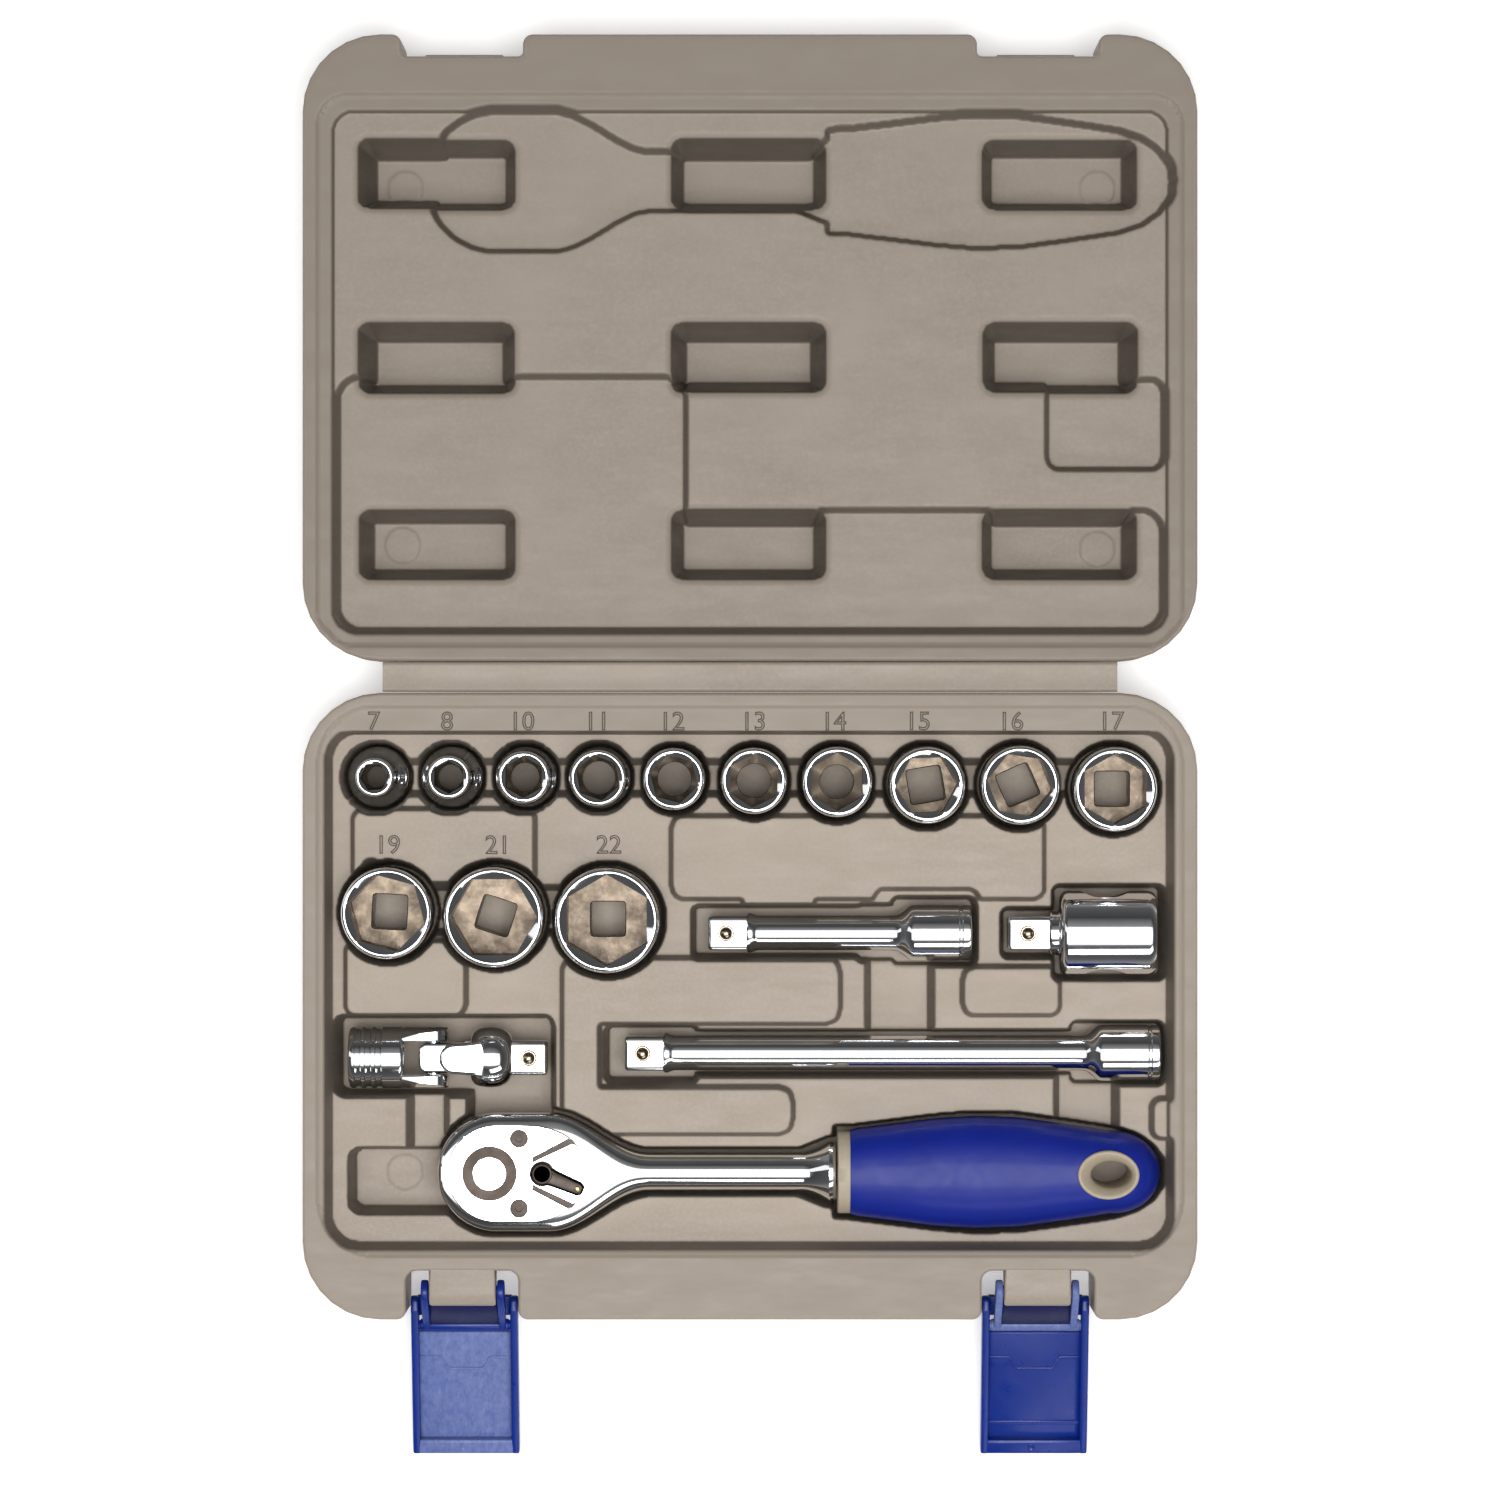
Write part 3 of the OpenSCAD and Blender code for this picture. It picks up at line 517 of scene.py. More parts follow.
def blur(h, sigma):
    """Gaussian blur of a map, sigma in cells."""
    k = int(3 * sigma + 1)
    w = np.exp(-0.5 * (np.arange(-k, k + 1) / sigma) ** 2)
    w /= w.sum()
    for axis in (0, 1):
        pad = [(k, k) if a == axis else (0, 0) for a in (0, 1)]
        p = np.pad(h, pad, mode="edge")
        rows, cols = h.shape
        h = sum(wi * (p[i:i + rows] if axis == 0 else p[:, i:i + cols]) for i, wi in enumerate(w))
    return h


def inside(poly, px, py):
    """Which points lie inside the outline."""
    res = np.zeros(px.shape, bool)
    for i in range(len(poly)):
        (x1, y1), (x2, y2) = poly[i], poly[(i + 1) % len(poly)]
        if y1 != y2:
            hit = ((y1 > py) != (y2 > py)) & (px < (x2 - x1) * (py - y1) / (y2 - y1) + x1)
            res ^= hit
    return res


def case_half(name, mat, side_mat, outline, xs, ys, h, vent_y):
    """One closed shell: the moulded inner face, the flange round it, the walls and the underside."""
    rim_ring = inset(outline, 1.0)
    px, py = np.meshgrid(xs, ys)
    keep_pt = inside(inset(outline, 2.0), px, py)
    cell = keep_pt[:-1, :-1] & keep_pt[1:, :-1] & keep_pt[:-1, 1:] & keep_pt[1:, 1:]
    index = -np.ones(px.shape, int)
    used = np.zeros(px.shape, bool)
    for a in (slice(None, -1), slice(1, None)):
        for b in (slice(None, -1), slice(1, None)):
            used[a, b] |= cell
    index[used] = np.arange(used.sum())
    verts = np.c_[px[used], py[used], h[used]]
    j, i = np.nonzero(cell)
    quads = np.c_[index[j, i], index[j, i + 1], index[j + 1, i + 1], index[j + 1, i]]
    # the flat ring between the jagged grid edge and the smooth outline
    edges = {}
    for q in quads:
        for k in range(4):
            a, b = int(q[k]), int(q[(k + 1) % 4])
            if (b, a) in edges:
                del edges[(b, a)]
            else:
                edges[(a, b)] = 1
    rim_ids = sorted({v for e in edges for v in e})
    rim_of = {v: n for n, v in enumerate(rim_ids)}
    n_rim, n_out = len(rim_ids), len(rim_ring)
    flat = [Vector(verts[v][:2]) for v in rim_ids] + [Vector(p) for p in rim_ring]
    cons = [(rim_of[a], rim_of[b]) for a, b in edges]
    cons += [(n_rim + k, n_rim + (k + 1) % n_out) for k in range(n_out)]
    cv, _, cf, ov, _, _ = delaunay_2d_cdt(flat, cons, [], 1, 1e-6)
    offset = len(verts)
    to_mesh = []
    for k, src in enumerate(ov):
        first = src[0] if src else None
        to_mesh.append(rim_ids[first] if first is not None and first < n_rim else
                       offset + (first - n_rim) if first is not None else None)
    faces = [tuple(int(v) for v in q) for q in quads]
    for f in cf:
        ids = [to_mesh[v] for v in f]
        if None in ids:
            continue
        c = sum((cv[v] for v in f), Vector((0, 0))) / len(f)
        col, row = int((c.x - xs[0]) / GRID), int((c.y - ys[0]) / GRID)
        if 0 <= row < cell.shape[0] and 0 <= col < cell.shape[1] and cell[row, col]:
            continue
        faces.append(tuple(ids))
    inner_faces = len(faces)
    # outer walls: rounded rim, straight side, generous round at the bottom
    profile = [(1.0, RIM_Z), (0.55, 27.85), (0.2, 27.5), (0.03, 27.0), (0.0, 26.2), (0.0, 14.0), (0.0, 3.2),
               (0.12, 2.2), (0.45, 1.3), (1.0, 0.6), (1.7, 0.18), (2.5, 0.0)]
    wall = np.concatenate([np.c_[inset(outline, d), np.full(n_out, z)] for d, z in profile])
    verts = np.concatenate([verts, wall])
    for r in range(len(profile) - 1):
        a, b = offset + r * n_out, offset + (r + 1) * n_out
        for k in range(n_out):
            m = (k + 1) % n_out
            faces.append((a + k, b + k, b + m, a + m))
    base = offset + (len(profile) - 1) * n_out
    faces.append(tuple(base + k for k in range(n_out)))
    ob = mesh_object(name, verts, faces, mat, 60)
    ob.data.materials.append(side_mat)
    slots = np.ones(len(ob.data.polygons), np.int32)
    slots[:inner_faces] = 0
    ob.data.polygons.foreach_set("material_index", slots)
    mod = ob.modifiers.new("fewer", "DECIMATE")
    mod.ratio = 0.42
    bpy.context.view_layer.objects.active = ob
    bpy.ops.object.modifier_apply(modifier="fewer")
    # blow-pin hole in the underside
    carve(ob, plug(0, vent_y, 2.5, -1.0, 2.0, 32), smooth=60)
    return ob


def ejector_mark(h, px, py, x, y, radius=5.0):
    """A faint round step left by an ejector pin."""
    return np.where(np.hypot(px - x, py - y) < radius, h + 0.35, h)


def frame_line(px, py, half, low, high, r, width=0.75):
    """Which points lie on a thin rounded frame just inside the flange."""
    x, y = np.abs(px), np.abs(py - (low + high) / 2)
    dx, dy = x - (half - r), y - ((high - low) / 2 - r)
    d = np.hypot(np.maximum(dx, 0), np.maximum(dy, 0)) + np.minimum(np.maximum(dx, dy), 0) - r
    return (d > -width / 2) & (d < width / 2)


def base_half():
    """The tray: tool pockets with leaning walls, a stepped ledge and a flat flange."""
    xs, ys, h = top_map("case_base", -HALF_Y)
    h = np.minimum(np.where(h < 0, RIM_Z, h), RIM_Z)
    # the band between the latch notches is flange
    h[ys < -72.5, :] = RIM_Z
    cad = h.copy()
    h = slope_from(h, cad, (cad > 19.9) & (cad <= SHELF), 4.0)
    h = slope_from(h, cad, (cad > POCKET) & (cad <= CHANNEL), 4.5)
    h[ys > 76.2, :] = cad[ys > 76.2, :]
    h = slope_from(h, cad, cad <= POCKET, 12.0, 0.8, 1.5)
    px, py = np.meshgrid(xs, ys)
    h = ejector_mark(h, px, py, -97.2, -47.6)
    h = np.where(frame_line(px, py, FRAME_X, -69.1, 83.1, 15.5), h - 0.5, h)
    h = blur(h, 0.22 / GRID)
    outline = half_outline(-HALF_Y, -HALF_Y, 15.6, -73.5, 3.0)
    ob = case_half("case_base_moulding", base_mat, case_mat, outline, xs, ys, h, -78.0)
    return ob, (xs, ys, h)


def lid_half():
    """The lid: shallow sloped wells, four ejector marks and a flat flange."""
    xs, ys, h = top_map("case_lid", LID_Y0)
    h = np.minimum(np.where(h < 0, RIM_Z, h), RIM_Z)
    h[ys > LID_Y0 + 2 * HALF_Y - 7.3, :] = RIM_Z
    wells = h <= POCKET
    ny, nx, d = nearest(~wells)
    edge = h[np.clip(ny, 0, None), np.clip(nx, 0, None)]
    h = np.where(wells, np.maximum(h, edge - 1.2 - 5.4 * d), h)
    cad = h.copy()
    h = slope_from(h, cad, (cad > 19.9) & (cad <= 20.55), 3.2)
    h = slope_from(h, cad, wells, 40.0, 1.1, 2.2)
    px, py = np.meshgrid(xs, ys)
    for x, y in ((-97.2, 229.6), (-98.0, 129.0), (98.0, 127.9), (98.0, 229.6)):
        h = ejector_mark(h, px, py, x, y)
    h = np.where(frame_line(px, py, FRAME_X, 100.4, 253.2, 8.0), h - 0.5, h)
    h = blur(h, 0.22 / GRID)
    outline = half_outline(LID_Y0, LID_Y0 + 2 * HALF_Y, 16.9, LID_Y0 + 2 * HALF_Y - 6.1, 1.5)
    return case_half("case_lid_moulding", lid_shaded_mat, lid_side_shaded_mat, outline, xs, ys, h, 261.0)


base_ob, BASE_MAP = base_half()
lid_ob = lid_half()


def height_at(x, y):
    """Height of the finished base moulding at a point."""
    xs, ys, h = BASE_MAP
    return float(h[int(round((y - ys[0]) / GRID)), int(round((x - xs[0]) / GRID))])


# latch lugs on the base, and the ribs on the lid that the latch lips hook over
def lug(cx):
    side = [(-73.0, 27.6), (-76.5, 27.75), (-79.7, 27.75)]
    round_end = np.radians(np.arange(100, 271, 12))
    side += [(LUG_Y + 3.85 * math.cos(a), LUG_Z + 3.85 * math.sin(a)) for a in round_end]
    side += [(-77.5, 20.6), (-73.0, 18.6)]
    poly = np.array(side)
    half = 9.3
    rings = []
    ends = [(-half, 0.7), (-half + 0.2, 0.25), (-half + 0.7, 0.0)]
    for x, d in ends + [(-x, d) for x, d in ends[::-1]]:
        q = inset(poly, d)
        rings.append(np.c_[np.full(len(q), cx + x), q])
    return loft("lug", rings, case_mat, 40)


def rib(cx):
    q = round_poly([(-11, 0), (11, 0), (11, 2.4), (-11, 2.4)], 0.5, 3) + np.array([cx, 263.6])
    return stack("rib", q, [(0.4, 13.1), (0, 13.5), (0, 15.1), (0.4, 15.5)], case_mat, 40)


place(join("case_base_moulding", base_ob, lug(-LATCH_X), lug(LATCH_X)), "tray", "case", "case_base")
place(join("case_lid_moulding", lid_ob, rib(-LATCH_X), rib(LATCH_X)), "lid", "case", "case_lid")


WEB_Z = 24.35


# living hinge: a thin strip with thickened edges and a shallow crease
def web():
    rows = []
    y_line = [(87.9, 0.5), (88.5, 0.5), (89.0, 0.42), (90.6, 0.34), (91.55, 0.3), (92.5, 0.34), (94.1, 0.42)]
    y_line += [(94.6, 0.5), (95.2, 0.5)]
    for x in np.linspace(-102.3, 102.3, 40):
        ring = [(x, y, WEB_Z + t) for y, t in y_line]
        ring.append((x, 95.68, WEB_Z))
        ring += [(x, y, WEB_Z - t) for y, t in reversed(y_line)]
        ring.append((x, 87.42, WEB_Z))
        rows.append(np.array(ring))
    return loft("hinge_strip", rows, case_mat, 50)


place(web(), "web", "case", "hinge_web")


# raised size numerals, thin outlines of plain figures, centred on x and y, coloured dark as painted shade along
# their raised lines
def numeral(text, x, y, height):
    curve = bpy.data.curves.new("numeral", "FONT")
    curve.body = text
    curve.size = height * MM * 1.42
    curve.align_x, curve.align_y = "CENTER", "CENTER"
    curve.fill_mode = "NONE"
    curve.bevel_depth = 0.16 * MM
    curve.bevel_resolution = 2
    curve.resolution_u = 6
    curve.offset = -0.05 * MM
    ob = bpy.data.objects.new("numeral", curve)
    scene.collection.objects.link(ob)
    ob.location = (x * MM, y * MM, (height_at(x, y) + 0.08) * MM)
    bpy.context.view_layer.update()
    me = bpy.data.meshes.new_from_object(ob.evaluated_get(bpy.context.evaluated_depsgraph_get()))
    me.transform(ob.matrix_world)
    co = np.array([v.co for v in me.vertices])
    middle = (co.min(0) + co.max(0)) / 2
    me.transform(Matrix.Translation((x * MM - middle[0], y * MM - middle[1], 0)))
    bpy.data.objects.remove(ob)
    me.materials.clear()
    me.materials.append(numeral_shade_mat)
    ob = bpy.data.objects.new("numeral", me)
    scene.collection.objects.link(ob)
    return ob


SMALL_X = {7: -104.4, 8: -84.2, 10: -62.8, 11: -42.5, 12: -21.1, 13: 1.4, 14: 23.9, 15: 47.2, 16: 73.1, 17: 101.1}
LARGE_X = {19: -100.3, 21: -70.8, 22: -39.4}
SMALL_Y, LARGE_Y, FIGURE = 79.3, 44.9, 5.1
numerals = [numeral(str(size), x, SMALL_Y, FIGURE) for size, x in SMALL_X.items()]
numerals += [numeral(str(size), x, LARGE_Y, FIGURE) for size, x in LARGE_X.items()]
place(join("size_numerals", *numerals), "tray", "case")


# ---------------------------------------------------------------- turned tools
def polar(poly):
    """Radius of a star-shaped outline as a function of the angle."""
    fine = []
    for i in range(len(poly)):
        a, b = poly[i], poly[(i + 1) % len(poly)]
        fine += [a + (b - a) * k / 24 for k in range(24)]
    fine = np.array(fine)
    ang = np.arctan2(fine[:, 1], fine[:, 0])
    rad = np.hypot(fine[:, 0], fine[:, 1])
    order = np.argsort(ang)
    turn = 2 * math.pi
    return lambda t: np.interp((t + math.pi) % turn - math.pi, ang[order], rad[order], period=turn)


def regular(sides, flats, corner, turn=0.0):
    """Regular polygon by its width over flats, a corner on the turn angle."""
    r = flats / 2 / math.cos(math.pi / sides)
    pts = [(r * math.cos(math.radians(turn) + 2 * math.pi * k / sides),
            r * math.sin(math.radians(turn) + 2 * math.pi * k / sides)) for k in range(sides)]
    return polar(round_poly(pts, corner, 4))


def spin(profile, n, at, axis="z"):
    """Rings for loft: profile lists (radius, place along the axis), as numbers or functions of the angle."""
    t = angles(n)
    rings = []
    for r, z in profile:
        rr = r(t) if callable(r) else np.full(n, float(r))
        zz = z(t) if callable(z) else np.full(n, float(z))
        u, v = rr * np.cos(t), rr * np.sin(t)
        if axis == "z":
            rings.append(np.c_[at[0] + u, at[1] + v, at[2] + zz])
        else:
            rings.append(np.c_[zz, at[1] + u, at[2] + v])
    return rings


# by size: x, y, diameter at the hexagon, diameter at the drive, turn of the hexagon and of the square, bore
SOCKETS = {7: (-104.2, 63.7, 10.8, 17, 5, 0, 6), 8: (-83.6, 63.7, 12, 17, 30, 0, 7),
           10: (-62.8, 63.7, 14.6, 17, 30, 12, 8), 11: (-42.2, 63.5, 15.6, 17.2, 40, 0, 9.2),
           12: (-21.1, 63.2, 17.3, 17.3, 45, 0, 9.4), 13: (1.1, 62.7, 18.5, 18.5, 26, 0, 9.4),
           14: (24.2, 62.4, 19.6, 19.6, 30, 0, 9.4), 15: (49.2, 61.5, 21.4, 20.2, 2, 10, 9.4),
           16: (75, 61.5, 22, 20.6, 51, 24, 9.4), 17: (101.4, 60.4, 23.5, 21.8, 30, 0, 9.4),
           19: (-100.8, 26, 25.4, 22.4, 45, -3, 9.4), 21: (-71.1, 24.9, 27.8, 23.6, 0, -18, 9.4),
           22: (-39.7, 24, 29.2, 24.4, 30, 0, 9.4)}
DRIVE_HOLE, DRIVE = 9.7, 9.5
BEADS, SOCKET_POINTS = 48, 96


def knurl(r, depth):
    return lambda t: r - depth * (0.5 - 0.5 * np.cos(BEADS * t))


def socket(size, x, y, hex_d, drive_d, turn, square_turn, bore):
    """Six-point socket standing on its drive end, with its groove, knurl, shoulder, lip and both holes."""
    low, top = drive_d / 2, hex_d / 2
    length = 30 if size >= 19 else 28
    rise = max(0.6, abs(top - low))
    corner = size / 2 / math.cos(math.pi / 6)
    mouth = min(top - 0.55, corner + 0.35)
    hexa = regular(6, size + 0.1, 0.25, turn)
    square = regular(4, DRIVE_HOLE, 0.9, 45 + square_turn)
    deep = length - (16 if size > 14 else 9)

    def chamfer(t):
        return length - 0.12 - 0.62 * (mouth - hexa(t))

    outer = [(low - 0.8, 0), (low - 0.3, 0.12), (low - 0.06, 0.4), (low, 0.85), (low, 3.2)]
    outer += [(low - 0.3, 3.55), (low - 0.36, 4.0), (low - 0.3, 4.45), (low, 4.8), (low, 6.1), (low - 0.1, 6.25)]
    outer += [(knurl(low - 0.04, 0.45), 6.6), (knurl(low, 0.55), 7.6), (knurl(low, 0.55), 8.8),
              (knurl(low - 0.04, 0.45), 9.8), (low - 0.1, 10.15), (low, 10.3), (low, 11.2)]
    sweep = [(low + (top - low) * k, 11.5 + rise * (k + 0.12 * math.sin(2 * math.pi * k))) for k in
             (0.06, 0.25, 0.5, 0.75, 0.94)] if abs(top - low) > 0.05 else [(low, 12.0)]
    turn_in = min(1.25, 0.78 * (top - mouth))
    lip = [(top, 12.6 + rise), (top, length - 1.9 * turn_in)]
    lip += [(top - turn_in * (1 - math.cos(a)), length - 1.3 * turn_in * (1 - math.sin(a)))
            for a in np.radians((15, 30, 45, 60, 75, 90))]
    inner = [(mouth, length - 0.03), (hexa, chamfer), (hexa, lambda t: chamfer(t) - 0.15), (hexa, deep + 0.1)]
    if size <= 14:
        inner += [(bore / 2 + 0.15, deep - 0.5), (bore / 2, deep - 0.7), (bore / 2, 12.0), (square, 11.5)]
    else:
        inner += [(lambda t: np.minimum(square(t) + 0.25, hexa(t)), deep - 0.05), (square, deep - 0.35)]
    inner += [(square, 0.7), (lambda t: square(t) + 0.45, 0.0)]
    rings = spin(outer + sweep + lip + inner, SOCKET_POINTS, (x, y, 3.05))
    ob = loft(f"socket_{size}_body", rings, chrome, 33, close=True)
    # the faces inside the holes take the darker metal: painted shade
    ob.data.materials.append(bore_shade_mat)
    first = (len(outer + sweep + lip) + 1) * SOCKET_POINTS
    index = np.zeros(len(ob.data.polygons), np.int32)
    index[first:(len(rings) - 2) * SOCKET_POINTS] = 1
    ob.data.polygons.foreach_set("material_index", index)
    place(ob, f"s{size}", "chrome", f"socket_{size}")


for size, row in SOCKETS.items():
    socket(size, *row)

MALE = regular(4, DRIVE, 1.1, 45)
FEMALE = regular(4, DRIVE_HOLE, 0.8, 45)


def scaled(f, k):
    return lambda t: f(t) * k


def male_end(x, full):
    """Square drive from its tip at x to where it meets the shaft at x + full."""
    tip = [(scaled(MALE, 0.78), x), (scaled(MALE, 0.9), x + 0.12), (scaled(MALE, 0.975), x + 0.5)]
    return tip + [(MALE, x + 1.1), (MALE, x + full - 0.2)]


def dimple(ob, x, y, z):
    """Round seat of the detent ball, cut into the top flat of a square drive."""
    seat = ((2.4, 3.2), (2.45, 4.45), (2.9, 4.8), (2.9, 6.0))
    carve(ob, loft("cut", [np.c_[ellipse(x, y, r, r, 40), np.full(40, z + h)] for r, h in seat], bronze))


def widened(f, d):
    return lambda t: f(t) + d


def bar(name, body, x, y, z, length, node):
    """Extension with a male square at x and a female square at its other end."""
    r, end = 4.85, 7.75
    e = x + length
    rows = male_end(x, 10.9)
    rows += [(5.55, x + 11.2), (5.5, x + 12.0), (5.1, x + 13.0), (r, x + 13.9), (r, x + 16)]
    rows += [(r, e - 24), (r + 0.05, e - 22)]
    rows += [(r + (end - r) * k * k * (3 - 2 * k), e - 21.5 + 5.2 * k) for k in (0.15, 0.35, 0.55, 0.75, 0.9)]
    rows += [(end, e - 16.0), (end, e - 3.6), (end - 0.22, e - 3.3), (end - 0.22, e - 2.7), (end, e - 2.4),
             (end, e - 0.8), (end - 0.2, e - 0.25), (end - 0.7, e)]
    rows += [(widened(FEMALE, 0.5), e), (FEMALE, e - 0.6), (FEMALE, e - 11.6), (3.6, e - 12.0), (0.4, e - 12.6)]
    ob = loft(name, spin(rows, 64, (0, y, z), "x"), chrome, 33)
    dimple(ob, x + 5, y, z)
    place(ob, body, "chrome", node)


bar("short_extension_body", "short_bar", -11.7, 20.1, 17, 73.6, "extension_short")
bar("long_extension_body", "long_bar", -35, -13.5, 17, 149.6, "extension_long")


def along_y(x, y, z, profile, n):
    """Turned solid about a line along Y, to cut with: profile lists (radius, distance from y)."""
    t = angles(n)
    rings = [np.c_[x + r * np.cos(t), np.full(n, y + dy), z + r * np.sin(t)] for r, dy in profile]
    return loft("cut", rings, bronze)


def step_up_adapter():
    """Small male square, wide body with a half-inch square and a hole across it for a sliding bar."""
    x, y, z = 86.4, 20.1, 19.5
    half = regular(4, 12.9, 1.0, 45)
    rows = male_end(x - 14.5, 11.6)
    rows += [(6.0, x - 2.7), (6.2, x - 2.3), (6.2, x - 0.4), (6.5, x - 0.05), (9.8, x + 0.1), (10.9, x + 0.5)]
    rows += [(11.5, x + 1.1), (11.8, x + 2.0), (11.8, x + 24.6)]
    rows += [(11.6, x + 25.7), (11.1, x + 26.5), (10.3, x + 26.85)]
    rows += [(widened(half, 0.6), x + 26.85), (half, x + 26.1), (half, x + 12.2), (4.5, x + 11.7),
             (0.4, x + 11.2)]
    ob = loft("adapter_body", spin(rows, 96, (0, y, z), "x"), chrome, 33)
    cross = ((7.4, -13), (6.7, -10.6), (6.25, -9.6), (6.25, 9.6), (6.7, 10.6), (7.4, 13))
    carve(ob, along_y(x + 12.8, y, z, cross, 64))
    dimple(ob, x - 8.9, y, z)
    place(ob, "square_adapter", "chrome", "adapter")


step_up_adapter()

# ---------------------------------------------------------------- universal joint
JOINT_Y, JOINT_Z, FORK_X, SWING_X, PIN_HOLE_R = -14.9, 14.5, -88.6, -82.5, 2.05


def joint_fork():
    """Grooved barrel with a square hole, and two ears that hold the first pin."""
    rows = [(0.4, -100.4), (3.6, -100.9), (FEMALE, -101.2), (FEMALE, -111.6), (widened(FEMALE, 0.5), -112.2)]
    rows += [(7.4, -112.2), (8.2, -111.95), (8.55, -111.3)]
    for groove in (-109.6, -106.7, -103.8):
        rows += [(r, groove + dx) for r, dx in ((8.58, -1.0), (8.2, -0.65), (8.12, 0), (8.2, 0.65), (8.58, 1.0))]
    rows += [(8.58, -97.9), (8.4, -97.2), (7.9, -96.7), (7.0, -96.45), (0.4, -96.4)]
    parts = [loft("barrel", spin(rows, 88, (0, JOINT_Y, JOINT_Z), "x"), chrome, 33)]
    arc = np.radians(np.arange(-80, 81, 16))
    ear = [(FORK_X + 4.3 * math.cos(a), 4.3 * math.sin(a)) for a in arc]
    ear = np.array(ear + [(-92.5, 5.0), (-97.2, 6.4), (-97.2, -6.4), (-92.5, -5.0)])
    barrel = [(8.5, -99), (8.5, -83)]
    for side in (-1, 1):
        loops = []
        for y, d in ((4.65, 0.35), (4.9, 0.08), (5.2, 0), (7.6, 0), (8.2, 0.2), (8.7, 0.8)):
            q = inset(ear, d)
            loops.append(np.c_[q[:, 0], np.full(len(q), JOINT_Y + side * y), JOINT_Z + q[:, 1]])
        one = loft("ear", loops, chrome, 33)
        carve(one, loft("cut", spin(barrel, 72, (0, JOINT_Y, JOINT_Z), "x"), chrome), "INTERSECT")
        carve(one, along_y(FORK_X, JOINT_Y, JOINT_Z, ((PIN_HOLE_R, -10), (PIN_HOLE_R, 10)), 48))
        parts.append(one)
    place(join("joint_fork_body", *parts), "fork", "chrome", "joint_fork")


def joint_output():
    """Domed yoke with two long ears above and below the cross, ending in a drive square."""
    rows = [(0.4, -76.8), (4.9, -76.8), (5.1, -77.9), (5.7, -78.2), (6.6, -77.9), (7.5, -77.0), (8.1, -75.8)]
    rows += [(8.4, -74.4), (8.5, -72.8), (8.4, -71.2), (8.1, -69.8), (7.6, -68.6), (6.9, -67.6), (6.2, -67.0)]
    rows += [(5.9, -66.7), (MALE, -66.5), (MALE, -57.8), (scaled(MALE, 0.975), -57.2)]
    rows += [(scaled(MALE, 0.9), -56.82), (scaled(MALE, 0.78), -56.7)]
    body = loft("dome", spin(rows, 88, (0, JOINT_Y, JOINT_Z), "x"), chrome, 33)
    dimple(body, -61.9, JOINT_Y, JOINT_Z)
    parts = [body]
    arc = np.radians(np.arange(90, 271, 12))
    ear = [(SWING_X + 4.25 * math.cos(a), 4.25 * math.sin(a)) for a in arc]
    ear += [(-77.5, -4.6), (-74.5, -5.0), (-73.0, 0), (-74.5, 5.0), (-77.5, 4.6)]
    ear = np.array(ear) + np.array([0, JOINT_Y])
    for side in (-1, 1):
        loops = []
        for z, d in ((4.65, 0.3), (4.9, 0.05), (5.1, 0), (7.2, 0), (7.7, 0.15), (8.05, 0.5), (8.2, 1.0)):
            q = inset(ear, d)
            loops.append(np.c_[q, np.full(len(q), JOINT_Z + side * z)])
        one = loft("ear", loops, chrome, 33)
        carve(one, plug(SWING_X, JOINT_Y, PIN_HOLE_R, 3, 26, 48))
        parts.append(one)
    place(join("joint_output_body", *parts), "output", "chrome", "joint_output")


def joint_cross():
    """Rounded block between the fork and the yoke."""
    x0, x1, half = FORK_X - 4.2, SWING_X + 4.2, 4.2
    plan = round_poly([(x0, -half), (x1, -half), (x1, half), (x0, half)], 2.6, 8) + np.array([0, JOINT_Y])
    profile = [(1.1, -4.2), (0.35, -3.9), (0, -3.2), (0, 3.2), (0.35, 3.9), (1.1, 4.2)]
    block = stack("joint_cross_body", plan, [(d, JOINT_Z + z) for d, z in profile], chrome, 33)
    place(block, "cross", "chrome", "joint_cross")


joint_fork()
joint_cross()
joint_output()

# ---------------------------------------------------------------- ratchet
RY, RZ = -46.6, 19.25
HEAD_X, HEAD_R, GEAR_X, LEVER_X = -70.7, 16.5, -72.5, -57.8
SCREW_X, SCREW_Y, GEAR_HOLE_R = -64.3, 9.7, 7.62
HANG_X = 99.4


def head_half_width(x):
    """Half width in plan of the head, its neck, the shaft and the flare at the grip."""
    if x < HEAD_X:
        return math.sqrt(max(0.0, HEAD_R ** 2 - (x - HEAD_X) ** 2))
    if x < -56:
        return HEAD_R
    if x < -28:
        return 5.3 + (HEAD_R - 5.3) * (0.5 + 0.5 * math.cos(math.pi * (x + 56) / 28))
    if x < 14.8:
        return 5.3
    return 5.3 + 3.0 * min(1.0, (x - 14.8) / 7.2) ** 1.6


def mixed(a, b, k):
    """From a to b as k goes from 0 to 1, smoothly."""
    k = min(1.0, max(0.0, k))
    return a + (b - a) * k * k * (3 - 2 * k)


